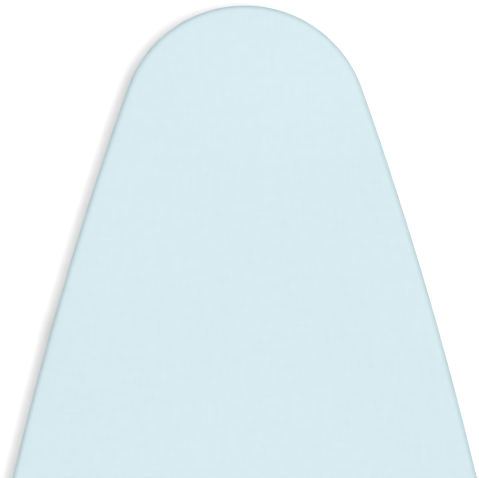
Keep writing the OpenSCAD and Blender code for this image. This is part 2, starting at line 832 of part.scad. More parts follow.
// Pawl on the lever's pivot, whose tip meets the rack
module pawl() {
  tip_up = tip_z - pivot_z;
  hub_r = block_below;
  color(zinc_colour) on_slider() translate([-pawl_t / 2, 0, 0]) difference() {
    union() {
      translate([0, lever_at, 0]) bar_x(0, pawl_t, hub_r);
      rotate([90, 0, 90]) linear_extrude(pawl_t) polygon([
        [lever_at, hub_r],
        [tip_ahead + tip_width, tip_up],
        [tip_ahead, tip_up],
        [tip_ahead, tip_up - hub_r],
        [lever_at - hub_r, -hub_r / 2]
      ]);
    }
    translate([0, lever_at, 0]) bar_x(-cut, pawl_t + cut, lever_r);
  }
}

cover();
hem_elastic();
pad();
top_panel();
rim_frame();
front_brace();
mid_brace();
rear_brace();
pivot_bracket_left();
pivot_bracket_right();
pivot_bolts();
pivot_nuts();
slide_rail_left();
slide_rail_right();
rack();
outer_tube_left();
outer_tube_right();
outer_plugs();
outer_bushes();
outer_upper_strap();
outer_lower_strap();
outer_foot_bar();
outer_foot_cap_left();
outer_foot_cap_right();
centre_bolts();
centre_nuts();
centre_spacers();
inner_tube_left();
inner_tube_right();
inner_plugs();
inner_cross_tube();
inner_foot_bar();
inner_foot_cap_left();
inner_foot_cap_right();
slide_axle();
axle_caps();
slider_block();
return_spring();
lever_wire();
lever_grip();
pawl();
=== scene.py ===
"""Looks of a folding ironing board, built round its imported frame.

Metres throughout. +Z is up, the nose points towards +Y, and the floor is at z = 0.
"""

import json
import logging
import math
from dataclasses import dataclass, field
from enum import Enum

import bmesh
import bpy
import numpy as np
from mathutils import Matrix, Vector


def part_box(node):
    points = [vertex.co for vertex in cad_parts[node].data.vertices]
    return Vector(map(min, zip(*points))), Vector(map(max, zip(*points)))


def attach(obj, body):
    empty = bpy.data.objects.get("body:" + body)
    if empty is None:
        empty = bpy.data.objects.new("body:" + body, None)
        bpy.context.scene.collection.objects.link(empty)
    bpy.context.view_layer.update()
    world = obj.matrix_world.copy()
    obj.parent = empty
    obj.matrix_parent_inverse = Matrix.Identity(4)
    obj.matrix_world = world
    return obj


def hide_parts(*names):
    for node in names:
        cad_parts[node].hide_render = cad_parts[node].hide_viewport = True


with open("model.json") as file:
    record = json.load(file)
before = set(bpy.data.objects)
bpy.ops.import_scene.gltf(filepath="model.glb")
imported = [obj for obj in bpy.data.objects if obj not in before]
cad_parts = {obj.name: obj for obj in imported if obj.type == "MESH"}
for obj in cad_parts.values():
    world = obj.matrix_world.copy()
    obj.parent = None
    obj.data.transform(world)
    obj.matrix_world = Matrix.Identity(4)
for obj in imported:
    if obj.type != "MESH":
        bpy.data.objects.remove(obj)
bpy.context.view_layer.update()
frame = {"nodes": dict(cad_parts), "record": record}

log = logging.getLogger("ironing_board")

MM = 0.001
SEED = 11
CLOSE = 0.01 * MM
NEAR = 0.02 * MM


class Body(Enum):
    """Rigid bodies of the frame that pieces ride on."""

    BOARD = "board"
    OUTER_LEG = "outer_leg"
    INNER_LEG = "inner_leg"
    SLIDER = "slider"
    LEVER = "lever"


class Socket(Enum):
    """Kinds of socket on a shader node group."""

    VALUE = "NodeSocketFloat"
    VECTOR = "NodeSocketVector"
    COLOUR = "NodeSocketColor"


# ---------------------------------------------------------------- shader helpers


class Graph:
    """A thin wrapper round a node tree that keeps the wiring short to write."""

    def __init__(self, tree: bpy.types.NodeTree) -> None:
        """Wraps a node tree.

        Args:
            tree: the node tree of a material or of a node group.
        """
        self.tree = tree

    def node(self, kind: str, inputs: dict | None = None, **props: object) -> bpy.types.Node:
        """Adds a node.

        Args:
            kind: the node's type, without the ShaderNode prefix.
            inputs: input names or indices, with a value or an output socket for each.
            props: properties to set on the node before its inputs.

        Returns:
            The new node.
        """
        made = self.tree.nodes.new("ShaderNode" + kind)
        for key, value in props.items():
            setattr(made, key, value)
        return self.feed(made, inputs)

    def feed(self, made: bpy.types.Node, inputs: dict | None) -> bpy.types.Node:
        """Sets a node's inputs from values or output sockets.

        Args:
            made: the node.
            inputs: input names or indices, with a value or an output socket for each.

        Returns:
            The same node.
        """
        for key, value in (inputs or {}).items():
            if isinstance(value, bpy.types.NodeSocket):
                self.link(value, made.inputs[key])
            else:
                made.inputs[key].default_value = value
        return made

    def link(self, start: bpy.types.NodeSocket, end: bpy.types.NodeSocket) -> None:
        """Links an output socket to an input socket."""
        self.tree.links.new(start, end)

    def bump(self, shader: bpy.types.Node, height: object, strength: float, distance: float) -> None:
        """Feeds a shader's normal from a height, in metres."""
        made = self.node("Bump", {"Height": height, "Strength": strength, "Distance": distance})
        self.link(made.outputs[0], shader.inputs["Normal"])

    def math(self, operation: str, *values: object, clamp: bool = False) -> bpy.types.NodeSocket:
        """Adds a Math node and returns its output.

        Args:
            operation: the Math node's operation.
            values: numbers or sockets for its inputs.
            clamp: whether the result is held between 0 and 1.

        Returns:
            The Math node's output socket.
        """
        return self.node("Math", dict(enumerate(values)), operation=operation, use_clamp=clamp).outputs[0]

    def noise(
        self, vector: object, scale: float, detail: float = 2.0, rough: float = 0.5
    ) -> bpy.types.NodeSocket:
        """Adds a Noise texture and returns its value between 0 and 1."""
        inputs = {"Vector": vector, "Scale": scale, "Detail": detail, "Roughness": rough}
        return self.node("TexNoise", inputs).outputs["Fac"]

    def remap(
        self, value: object, low: float, high: float, to_low: float, to_high: float
    ) -> bpy.types.NodeSocket:
        """Maps a value from one range to another, clamped, and returns the result."""
        inputs = {0: value, 1: low, 2: high, 3: to_low, 4: to_high}
        return self.node("MapRange", inputs, clamp=True).outputs[0]

    def mix(self, factor: object, first: object, second: object) -> bpy.types.NodeSocket:
        """Mixes two colours and returns the result."""
        made = self.node("Mix", {0: factor, 6: first, 7: second}, data_type="RGBA")
        return made.outputs[2]

    def stretched(self, vector: object, scale: tuple[float, float, float]) -> bpy.types.NodeSocket:
        """Multiplies a vector by a scale for each axis and returns the result."""
        return self.node("VectorMath", {0: vector, 1: scale}, operation="MULTIPLY").outputs[0]


class Effects:
    """Shader node groups that more than one material uses, each built once."""

    def __init__(self) -> None:
        """Starts with no group built."""
        self.built: dict[str, bpy.types.NodeTree] = {}

    def group(self, name: str, inputs: dict, outputs: dict) -> tuple[Graph, dict, dict]:
        """Starts a node group.

        Args:
            name: the group's name.
            inputs: input names, each with its Socket kind and default.
            outputs: output names, each with its Socket kind.

        Returns:
            The group's graph, its input sockets by name, and its output sockets by name.
        """
        tree = bpy.data.node_groups.new(name, "ShaderNodeTree")
        for label, (kind, default) in inputs.items():
            made = tree.interface.new_socket(label, in_out="INPUT", socket_type=kind.value)
            if default is not None:
                made.default_value = default
        for label, kind in outputs.items():
            tree.interface.new_socket(label, in_out="OUTPUT", socket_type=kind.value)
        graph = Graph(tree)
        start = tree.nodes.new("NodeGroupInput")
        end = tree.nodes.new("NodeGroupOutput")
        self.built[name] = tree
        return graph, {s.name: s for s in start.outputs if s.name}, {s.name: s for s in end.inputs if s.name}

    def use(self, graph: Graph, name: str, inputs: dict | None = None) -> bpy.types.Node:
        """Places a group in a material, building it the first time.

        Args:
            graph: the material's graph.
            name: the group's name, which is also the name of the method that builds it.
            inputs: values or sockets for the group's inputs.

        Returns:
            The group node.
        """
        if name not in self.built:
            getattr(self, name)()
        made = graph.tree.nodes.new("ShaderNodeGroup")
        made.node_tree = self.built[name]
        return graph.feed(made, inputs)

    def plain_weave(self) -> None:
        """Builds a plain weave: threads that pass over and under each other, with slubs both ways, and a mask
        of the spaces between threads that is used as painted shade.
        """
        graph, given, out = self.group(
            "plain_weave",
            {"Cloth": (Socket.VECTOR, None), "Pitch": (Socket.VALUE, 0.0005), "Slub": (Socket.VALUE, 0.5)},
            {"Height": Socket.VALUE, "Slubs": Socket.VALUE, "GapShade": Socket.VALUE},
        )
        parts = graph.node("SeparateXYZ", {0: given["Cloth"]})
        across = graph.math("DIVIDE", parts.outputs[0], given["Pitch"])
        along = graph.math("DIVIDE", parts.outputs[1], given["Pitch"])
        wave_x = graph.math("SINE", graph.math("MULTIPLY", across, math.pi))
        wave_y = graph.math("SINE", graph.math("MULTIPLY", along, math.pi))
        warp = graph.math("ABSOLUTE", wave_x)
        weft = graph.math("ABSOLUTE", wave_y)
        over = graph.math("GREATER_THAN", graph.math("MULTIPLY", wave_x, wave_y), 0.0)
        warp_top = graph.math("ADD", graph.math("MULTIPLY", warp, 0.65), graph.math("MULTIPLY", weft, 0.35))
        weft_top = graph.math("ADD", graph.math("MULTIPLY", weft, 0.65), graph.math("MULTIPLY", warp, 0.35))
        picked = graph.node("Mix", {0: over, 2: weft_top, 3: warp_top}, data_type="FLOAT")
        graph.link(picked.outputs[0], out["Height"])
        long_x = graph.noise(graph.stretched(given["Cloth"], (2200.0, 45.0, 1.0)), 1.0, 1.0)
        long_y = graph.noise(graph.stretched(given["Cloth"], (45.0, 2200.0, 1.0)), 1.0, 1.0)
        both = graph.math("SUBTRACT", graph.math("ADD", long_x, long_y), 1.0)
        graph.link(graph.math("MULTIPLY", both, given["Slub"]), out["Slubs"])
        graph.link(graph.math("SUBTRACT", 1.0, graph.math("MAXIMUM", warp, weft)), out["GapShade"])

    def mottle(self) -> None:
        """Builds a soft, large-scale variation, as dyed or painted surfaces have."""
        graph, given, out = self.group(
            "mottle",
            {"Place": (Socket.VECTOR, None), "Scale": (Socket.VALUE, 6.0), "Amount": (Socket.VALUE, 0.5)},
            {"Value": Socket.VALUE},
        )
        coarse = graph.noise(given["Place"], 1.0, 3.0)
        graph.link(given["Scale"], coarse.node.inputs["Scale"])
        centred = graph.math("SUBTRACT", coarse, 0.5)
        graph.link(graph.math("MULTIPLY", centred, given["Amount"]), out["Value"])

    def orange_peel(self) -> None:
        """Builds the fine dimples of powder coat or moulded plastic, as a height."""
        graph, given, out = self.group(
            "orange_peel",
            {"Place": (Socket.VECTOR, None), "Scale": (Socket.VALUE, 600.0)},
            {"Height": Socket.VALUE},
        )
        fine = graph.noise(given["Place"], 1.0, 2.0)
        graph.link(given["Scale"], fine.node.inputs["Scale"])
        graph.link(fine, out["Height"])

    def wear(self) -> None:
        """Builds scuffs: sparse streaks and specks where a surface has been rubbed."""
        graph, given, out = self.group(
            "wear",
            {"Place": (Socket.VECTOR, None), "Amount": (Socket.VALUE, 0.3)},
            {"Mask": Socket.VALUE},
        )
        patches = graph.noise(given["Place"], 14.0, 3.0)
        specks = graph.noise(given["Place"], 420.0, 3.0, 0.7)
        sparse = graph.remap(patches, 0.52, 0.72, 0.0, 1.0)
        sharp = graph.remap(specks, 0.56, 0.66, 0.0, 1.0)
        both = graph.math("MULTIPLY", sparse, sharp)
        graph.link(graph.math("MULTIPLY", both, given["Amount"], clamp=True), out["Mask"])

    def brushed(self) -> None:
        """Builds fine drawn lines along one direction, as on wire and plated bar."""
        graph, given, out = self.group(
            "brushed",
            {"Place": (Socket.VECTOR, None)},
            {"Lines": Socket.VALUE},
        )
        lines = graph.noise(graph.stretched(given["Place"], (60.0, 2600.0, 2600.0)), 1.0, 2.0)
        graph.link(lines, out["Lines"])


EFFECTS = Effects()


def new_material(name: str) -> tuple[bpy.types.Material, Graph, bpy.types.Node]:
    """Starts a material with one Principled BSDF.

    Args:
        name: the material's name.

    Returns:
        The material, its graph and its Principled BSDF.
    """
    material = bpy.data.materials.new(name)
    material.use_nodes = True
    tree = material.node_tree
    tree.nodes.clear()
    shader = tree.nodes.new("ShaderNodeBsdfPrincipled")
    output = tree.nodes.new("ShaderNodeOutputMaterial")
    tree.links.new(shader.outputs[0], output.inputs[0])
    return material, Graph(tree), shader


def place(graph: Graph) -> bpy.types.NodeSocket:
    """Returns the point on the object, in metres."""
    return graph.node("TexCoord").outputs["Object"]


def tinted(graph: Graph, colour: object, value: object, amount: float) -> bpy.types.NodeSocket:
    """Makes a colour darker or lighter by a value that is centred on 0.

    Args:
        graph: the material's graph.
        colour: the colour, as a value or a socket.
        value: the socket that varies round 0.
        amount: how strongly the value counts.

    Returns:
        The socket of the changed colour.
    """
    lift = graph.math("ADD", graph.math("MULTIPLY", value, amount), 1.0)
    scaled = graph.node("VectorMath", {0: colour, 3: lift}, operation="SCALE")
    return scaled.outputs[0]


@dataclass(frozen=True)
class Cotton:
    """Plain-weave cotton of the cover, matt, with faint slubs and mottling, and painted shade on its turned
    edge and in the spaces between threads.
    """

    name: str = "cover_cotton"
    colour: tuple[float, float, float] = (0.605, 0.738, 0.782)
    # Darker colour painted on the rolled edge, side wall and underside as shade.
    painted_edge_shade_colour: tuple[float, float, float] = (0.45, 0.61, 0.645)
    thread_pitch: float = 0.55 * MM
    thread_height: float = 0.05 * MM
    roughness: float = 0.92
    sheen: float = 0.12

    def material(self) -> bpy.types.Material:
        """Builds the weave and its slubs, with painted shade in the spaces between threads and on the edge
        that turns over the pad.

        Returns:
            The material.
        """
        material, graph, shader = new_material(self.name)
        cloth = graph.node("UVMap", uv_map="cloth").outputs[0]
        weave = EFFECTS.use(graph, "plain_weave", {"Cloth": cloth, "Pitch": self.thread_pitch, "Slub": 1.0})
        mottle = EFFECTS.use(graph, "mottle", {"Place": place(graph), "Scale": 9.0, "Amount": 1.0})
        fine = EFFECTS.use(graph, "mottle", {"Place": place(graph), "Scale": 220.0, "Amount": 1.0})
        # Painted shade: the turned mask is 1 on the side wall and underside and fades out over the roll, and
        # the colour is darkened there.
        turned = graph.node("Attribute", attribute_name="turned").outputs["Fac"]
        body = graph.mix(turned, (*self.colour, 1.0), (*self.painted_edge_shade_colour, 1.0))
        dyed = tinted(graph, body, mottle.outputs[0], 0.05)
        slubbed = tinted(graph, dyed, weave.outputs["Slubs"], 0.05)
        specked = tinted(graph, slubbed, fine.outputs[0], 0.05)
        # Painted shade: the colour is darkened in the spaces between threads.
        painted_gap_shade = graph.math("MULTIPLY", weave.outputs["GapShade"], -0.22)
        graph.link(tinted(graph, specked, painted_gap_shade, 1.0), shader.inputs["Base Color"])
        rough = graph.remap(weave.outputs["Slubs"], -0.4, 0.4, self.roughness - 0.05, self.roughness + 0.05)
        graph.link(rough, shader.inputs["Roughness"])
        raised = graph.math("MULTIPLY", weave.outputs["Slubs"], 0.6)
        height = graph.math("ADD", weave.outputs["Height"], raised)
        graph.bump(shader, height, 0.45, self.thread_height)
        shader.inputs["Sheen Weight"].default_value = self.sheen
        shader.inputs["Sheen Roughness"].default_value = 0.5
        shader.inputs["Specular IOR Level"].default_value = 0.25
        return material


@dataclass(frozen=True)
class Thread:
    """Sewing thread, and the knitted elastic, which is ribbed by its rubber cores."""

    name: str
    colour: tuple[float, float, float]
    rib_pitch: float = 0.8 * MM

    def material(self) -> bpy.types.Material:
        """Builds the ribs, with painted shade where they are low.

        Returns:
            The material.
        """
        material, graph, shader = new_material(self.name)
        where = place(graph)
        weave = EFFECTS.use(graph, "plain_weave", {"Cloth": where, "Pitch": self.rib_pitch, "Slub": 1.0})
        # Painted shade: the colour is darkened where the rib height is low.
        shade = tinted(graph, self.colour, graph.math("SUBTRACT", weave.outputs["Height"], 0.6), 0.25)
        graph.link(shade, shader.inputs["Base Color"])
        graph.bump(shader, weave.outputs["Height"], 0.5, 0.1 * MM)
        shader.inputs["Roughness"].default_value = 0.8
        return material


@dataclass(frozen=True)
class Felt:
    """Needled felt of the pad: off-white fibres with coloured flecks."""

    name: str = "felt_pad"
    colour: tuple[float, float, float] = (0.56, 0.54, 0.50)
    fleck: tuple[float, float, float] = (0.22, 0.25, 0.30)

    def material(self) -> bpy.types.Material:
        """Builds the fibres and flecks.

        Returns:
            The material.
        """
        material, graph, shader = new_material(self.name)
        where = place(graph)
        fibres = graph.noise(graph.stretched(where, (900.0, 350.0, 900.0)), 1.0, 5.0, 0.7)
        flecks = graph.remap(graph.noise(where, 260.0, 3.0, 0.6), 0.62, 0.68, 0.0, 0.7)
        base = tinted(graph, self.colour, graph.math("SUBTRACT", fibres, 0.5), 0.5)
        graph.link(graph.mix(flecks, base, (*self.fleck, 1.0)), shader.inputs["Base Color"])
        graph.bump(shader, fibres, 0.8, 0.4 * MM)
        shader.inputs["Roughness"].default_value = 0.95
        shader.inputs["Sheen Weight"].default_value = 0.3
        return material


@dataclass(frozen=True)
class PowderCoat:
    """Satin powder coat on the steel frame, with faint dimples, dust and small scuffs."""

    name: str = "frame_paint"
    colour: tuple[float, float, float] = (0.53, 0.545, 0.56)
    scuff: tuple[float, float, float] = (0.27, 0.27, 0.28)
    roughness: float = 0.36

    def material(self) -> bpy.types.Material:
        """Builds the dimpled coat with its dust and scuffs.

        Returns:
            The material.
        """
        material, graph, shader = new_material(self.name)
        where = place(graph)
        peel = EFFECTS.use(graph, "orange_peel", {"Place": where, "Scale": 520.0})
        scuffs = EFFECTS.use(graph, "wear", {"Place": where, "Amount": 0.55})
        mottle = EFFECTS.use(graph, "mottle", {"Place": where, "Scale": 11.0, "Amount": 1.0})
        base = tinted(graph, self.colour, mottle.outputs[0], 0.05)
        worn = graph.mix(scuffs.outputs[0], base, (*self.scuff, 1.0))
        graph.link(worn, shader.inputs["Base Color"])
        streaks = graph.math("ADD", graph.math("MULTIPLY", mottle.outputs[0], 0.25), self.roughness)
        rough = graph.math("ADD", streaks, graph.math("MULTIPLY", scuffs.outputs[0], 0.25))
        graph.link(rough, shader.inputs["Roughness"])
        graph.bump(shader, peel.outputs[0], 0.22, 0.08 * MM)
        shader.inputs["Coat Weight"].default_value = 0.25
        shader.inputs["Coat Roughness"].default_value = 0.2
        return material


@dataclass(frozen=True)
class ZincPlate:
    """Bright zinc on fasteners, wire and the rack: drawn lines and a cloudy passivated tone."""

    name: str = "zinc_steel"
    colour: tuple[float, float, float] = (0.62, 0.635, 0.65)
    roughness: float = 0.3

    def material(self) -> bpy.types.Material:
        """Builds the drawn lines and the cloudy tone.

        Returns:
            The material.
        """
        material, graph, shader = new_material(self.name)
        where = place(graph)
        lines = EFFECTS.use(graph, "brushed", {"Place": where})
        cloud = EFFECTS.use(graph, "mottle", {"Place": where, "Scale": 90.0, "Amount": 1.0})
        base = tinted(graph, self.colour, cloud.outputs[0], 0.35)
        graph.link(base, shader.inputs["Base Color"])
        rough = graph.math("ADD", graph.math("MULTIPLY", lines.outputs[0], 0.25), self.roughness - 0.12)
        graph.link(rough, shader.inputs["Roughness"])
        graph.bump(shader, lines.outputs[0], 0.15, 0.05 * MM)
        shader.inputs["Metallic"].default_value = 1.0
        return material


@dataclass(frozen=True)
class Moulded:
    """Moulded plastic with a fine spark-eroded grain."""

    name: str
    colour: tuple[float, float, float]
    roughness: float = 0.5
    grain_scale: float = 1500.0
    grain_strength: float = 0.35
    wear_amount: float = 0.25

    def material(self) -> bpy.types.Material:
        """Builds the grain and the scuffs.

        Returns:
            The material.
        """
        material, graph, shader = new_material(self.name)
        where = place(graph)
        grain = EFFECTS.use(graph, "orange_peel", {"Place": where, "Scale": self.grain_scale})
        scuffs = EFFECTS.use(graph, "wear", {"Place": where, "Amount": self.wear_amount})
        mottle = EFFECTS.use(graph, "mottle", {"Place": where, "Scale": 40.0, "Amount": 1.0})
        base = tinted(graph, self.colour, mottle.outputs[0], 0.12)
        pale = tuple(min(1.0, c * 2.2 + 0.03) for c in self.colour)
        graph.link(graph.mix(scuffs.outputs[0], base, (*pale, 1.0)), shader.inputs["Base Color"])
        rough = graph.math("ADD", graph.math("MULTIPLY", grain.outputs[0], 0.2), self.roughness - 0.1)
        graph.link(rough, shader.inputs["Roughness"])
        graph.bump(shader, grain.outputs[0], self.grain_strength, 0.1 * MM)
        return material


@dataclass
class Palette:
    """The finishes of the board, one material for each of the record's slots."""

    made: dict[str, bpy.types.Material] = field(default_factory=dict)

    def build(self) -> None:
        """Makes every material once."""
        finishes = (
            Cotton(),
            Thread("elastic_knit", (0.80, 0.80, 0.77)),
            Felt(),
            PowderCoat(),
            ZincPlate(),
            Moulded("cap_plastic", (0.055, 0.06, 0.066), 0.5),
            Moulded("grip_plastic", (0.055, 0.06, 0.066), 0.42),
            Moulded("slider_nylon", (0.03, 0.032, 0.035), 0.38, 900.0, 0.2, 0.15),
            Moulded("bush_nylon", (0.74, 0.73, 0.68), 0.4, 900.0, 0.15, 0.1),
        )
        for finish in finishes:
            self.made[finish.name] = finish.material()
        self.made["sewing_thread"] = Thread("sewing_thread", (0.60, 0.76, 0.81), 0.4 * MM).material()

    def dress(self, piece: bpy.types.Object, slot: str, material: str | None = None) -> None:
        """Puts a slot's material on a piece.

        Args:
            piece: the object to dress.
            slot: the record's material slot.
            material: the material's name where it isn't the slot's.
        """
        chosen = self.made[material or slot]
        if piece.material_slots:
            for held in piece.material_slots:
                held.material = chosen
        else:
            piece.data.materials.append(chosen)


# ---------------------------------------------------------------- mesh helpers


def mesh_object(name: str, points: np.ndarray, faces: list, smooth: bool = True) -> bpy.types.Object:
    """Makes a mesh object.

    Args:
        name: the object's name.
        points: an array of points, in metres.
        faces: a list of faces, as tuples of point indices.
        smooth: whether the faces are shaded smooth.

    Returns:
        The object, linked to the scene.
    """
    mesh = bpy.data.meshes.new(name)
    mesh.from_pydata(np.asarray(points, float).tolist(), [], [tuple(int(i) for i in f) for f in faces])
    mesh.validate()
    mesh.polygons.foreach_set("use_smooth", [smooth] * len(mesh.polygons))
    return add_object(name, mesh)


def crisp(piece: bpy.types.Object, degrees: float = 35.0) -> None:
    """Keeps edges sharper than an angle crisp under smooth shading."""
    piece.data.set_sharp_from_angle(angle=math.radians(degrees))


def strip_faces(rows: int, columns: int) -> list:
    """Returns the quads between each row of a grid and the next, closed round its columns.

    Args:
        rows: the number of rows.
        columns: the number of points in each row.

    Returns:
        The quads, as tuples of point indices.
    """
    nexts = [(c, (c + 1) % columns) for c in range(columns)]
    starts = [(r * columns, (r + 1) * columns) for r in range(rows - 1)]
    return [(low + c, low + n, high + n, high + c) for low, high in starts for c, n in nexts]


def wrap_faces(rows: int, columns: int) -> list:
    """Returns the quads that join the last row of a grid to its first."""
    last = (rows - 1) * columns
    return [(last + c, last + (c + 1) % columns, (c + 1) % columns, c) for c in range(columns)]


def end_faces(rows: int, columns: int) -> list:
    """Returns the two faces that close a grid's first and last rows."""
    return [tuple(range(columns - 1, -1, -1)), tuple(range((rows - 1) * columns, rows * columns))]


def inside_out(faces: list) -> list:
    """Returns faces that look the other way."""
    return [tuple(reversed(f)) for f in faces]


def full_turn(count: int) -> np.ndarray:
    """Returns evenly spaced angles round a circle."""
    return np.linspace(0, 2 * math.pi, count, endpoint=False)


def add_object(name: str, data: bpy.types.ID) -> bpy.types.Object:
    """Links a new object that holds some data to the scene.

    Args:
        name: the object's name.
        data: its mesh, light or camera.

    Returns:
        The object.
    """
    made = bpy.data.objects.new(name, data)
    bpy.context.collection.objects.link(made)
    return made


def turned(profile: list, sides: int = 48) -> tuple[np.ndarray, list]:
    """Turns a profile round the X axis.

    Args:
        profile: pairs of (place along X, radius), in order; a radius of 0 closes an end.
        sides: the number of sides of the turned shape.

    Returns:
        The points and faces of the turned shape.
    """
    angle = full_turn(sides)
    rows = [np.stack([np.full(sides, x), r * np.cos(angle), r * np.sin(angle)], 1) for x, r in profile]
    return np.concatenate(rows), strip_faces(len(rows), sides)


def swept(path: np.ndarray, radius: object, sides: int = 10, closed: bool = False) -> tuple[np.ndarray, list]:
    """Sweeps a circle along a path.

    Args:
        path: the points of the path.
        radius: one radius, or one for each point.
        sides: the number of sides of the circle.
        closed: whether the path joins its own start.

    Returns:
        The points and faces of the tube, with capped ends where it is open.
    """
    path = np.asarray(path, float)
    count = len(path)
    radii = np.broadcast_to(radius, count)
    if closed:
        run = np.roll(path, -1, 0) - np.roll(path, 1, 0)
    else:
        run = np.gradient(path, axis=0)
    run /= np.linalg.norm(run, axis=1)[:, None]
    side = np.cross(run[0], [0.0, 0.0, 1.0])
    if np.linalg.norm(side) < 0.1:
        side = np.cross(run[0], [0.0, 1.0, 0.0])
    rings = []
    turn = full_turn(sides)
    for k in range(count):
        side = side - run[k] * np.dot(side, run[k])
        side /= np.linalg.norm(side)
        up = np.cross(run[k], side)
        rings.append(path[k] + radii[k] * (np.cos(turn)[:, None] * side + np.sin(turn)[:, None] * up))
    faces = strip_faces(count, sides) + (wrap_faces if closed else end_faces)(count, sides)
    return np.concatenate(rings), faces


def joined(parts: list) -> tuple[np.ndarray, list]:
    """Joins several (points, faces) pairs into one.

    Args:
        parts: the pairs to join.

    Returns:
        The points and faces of all of them.
    """
    points, faces, start = [], [], 0
    for more, found in parts:
        points.append(np.asarray(more, float))
        faces += [tuple(i + start for i in f) for f in found]
        start += len(more)
    return np.concatenate(points), faces


def moved(part: tuple[np.ndarray, list], matrix: Matrix) -> tuple[np.ndarray, list]:
    """Moves a (points, faces) pair by a matrix, turned inside out where the matrix mirrors.

    Args:
        part: the points and faces to move.
        matrix: where they go.

    Returns:
        The moved points, and their faces.
    """
    points, faces = part
    m = np.array(matrix)
    out = points @ m[:3, :3].T + m[:3, 3]
    flipped = np.linalg.det(m[:3, :3]) < 0
    return out, inside_out(faces) if flipped else faces


def merge_points(piece: bpy.types.Object, reach: float) -> None:
    """Merges points closer than a reach, drops what collapses, and turns every face outwards.

    Args:
        piece: the object whose mesh is mended.
        reach: how close points must be to merge.
    """
    work = bmesh.new()
    work.from_mesh(piece.data)
    bmesh.ops.remove_doubles(work, verts=work.verts, dist=reach)
    bmesh.ops.dissolve_degenerate(work, edges=work.edges, dist=reach)
    bmesh.ops.recalc_face_normals(work, faces=work.faces)
    work.to_mesh(piece.data)
    work.free()


# ---------------------------------------------------------------- the board's plan


@dataclass(frozen=True)
class Outline:
    """Plan of the board: a round nose, long side arcs, straight sides and round tail corners."""

    length: float
    width: float
    nose_r: float = 0.071
    side_r: float = 2.15
    tail_r: float = 0.055

    @property
    def tail_y(self) -> float:
        """Place of the tail along the board."""
        return -self.length / 2

    @property
    def nose_y(self) -> float:
        """Place of the nose circle's centre."""
        return self.length / 2 - self.nose_r

    @property
    def side_run(self) -> float:
        """Distance from the nose circle's centre back to where the side arcs end."""
        return math.sqrt((self.side_r - self.nose_r) ** 2 - (self.side_r - self.width / 2) ** 2)

    def loop(self, step: float) -> tuple[np.ndarray, np.ndarray]:
        """Walks round the outline.

        Args:
            step: the rough distance between points.

        Returns:
            The points in plan, anticlockwise from the middle of the tail, and their outward normals.
        """
        half = self.width / 2
        side_y = self.nose_y - self.side_run
        tangent = math.asin(self.side_run / (self.side_r - self.nose_r))
        corner = (half - self.tail_r, self.tail_y + self.tail_r)
        points, normals = [], []

        def straight(start: tuple, end: tuple, normal: tuple) -> None:
            """Adds the points of a straight run.

            Args:
                start: where the run starts.
                end: where it ends.
                normal: its outward normal.
            """
            count = max(2, round(math.dist(start, end) / step))
            for t in np.arange(count) / count:
                points.append((start[0] + t * (end[0] - start[0]), start[1] + t * (end[1] - start[1])))
                normals.append(normal)

        def arc(centre: tuple, radius: float, start: float, end: float) -> None:
            """Adds the points of an arc between two angles.

            Args:
                centre: the arc's centre.
                radius: its radius.
                start: its first angle.
                end: its last angle.
            """
            count = max(2, round(abs(end - start) * radius / step))
            for t in np.arange(count) / count:
                a = start + t * (end - start)
                points.append((centre[0] + radius * math.cos(a), centre[1] + radius * math.sin(a)))
                normals.append((math.cos(a), math.sin(a)))

        straight((0.0, self.tail_y), (corner[0], self.tail_y), (0.0, -1.0))
        arc(corner, self.tail_r, -math.pi / 2, 0.0)
        straight((half, corner[1]), (half, side_y), (1.0, 0.0))
        arc((half - self.side_r, side_y), self.side_r, 0.0, tangent)
        arc((0.0, self.nose_y), self.nose_r, tangent, math.pi / 2)
        right_p, right_n = np.array(points), np.array(normals)
        tip_p, tip_n = np.array([[0.0, self.length / 2]]), np.array([[0.0, 1.0]])
        flip = np.array([-1.0, 1.0])
        left_p, left_n = (right_p[1:] * flip)[::-1], (right_n[1:] * flip)[::-1]
        return np.concatenate([right_p, tip_p, left_p]), np.concatenate([right_n, tip_n, left_n])

    def spine(self, points: np.ndarray) -> np.ndarray:
        """Returns the place on the middle line that each point of the loop is drawn in to."""
        low = self.tail_y + self.width / 2
        return np.stack([np.zeros(len(points)), np.clip(points[:, 1], low, self.nose_y)], 1)

    def inside(self, x: float, y: float, inset: float) -> bool:
        """Tells whether a point is inside the outline by at least an inset."""
        return abs(x) <= self.half_at(y, inset) and y >= self.tail_y + inset

    def half_at(self, y: float, inset: float) -> float:
        """Returns half the width at a place along the board, inset from the edge, or -1 past an end.

        Args:
            y: the place along the board.
            inset: how far in from the edge.

        Returns:
            The half width, or -1 where nothing is left.
        """
        half = self.width / 2
        side_y = self.nose_y - self.side_run
        rise = self.side_run / (self.side_r - self.nose_r)
        if y > self.nose_y + (self.nose_r - inset) * rise:
            left = (self.nose_r - inset) ** 2 - (y - self.nose_y) ** 2
            return math.sqrt(left) if left > 0 else -1.0
        if y > side_y:
            return half - self.side_r + math.sqrt((self.side_r - inset) ** 2 - (y - side_y) ** 2)
        low = self.tail_y + self.tail_r - y
        if low > 0:
            left = (self.tail_r - inset) ** 2 - low**2
            return half - self.tail_r + math.sqrt(left) if left > 0 else -1.0
        return half - inset


def smooth_noise(count: int, knots: int, rng: np.random.Generator) -> np.ndarray:
    """Returns a smooth random loop of numbers, of about unit size.

    Args:
        count: how many numbers the loop holds.
        knots: how many waves it is made of.
        rng: the source of its random draws.

    Returns:
        The loop of numbers.
    """
    phase = rng.uniform(0, 2 * math.pi, knots)
    size = rng.normal(0, 1, knots) / math.sqrt(knots)
    t = full_turn(count)
    return (size[:, None] * np.cos(np.arange(1, knots + 1)[:, None] * t + phase[:, None])).sum(0) * 1.4


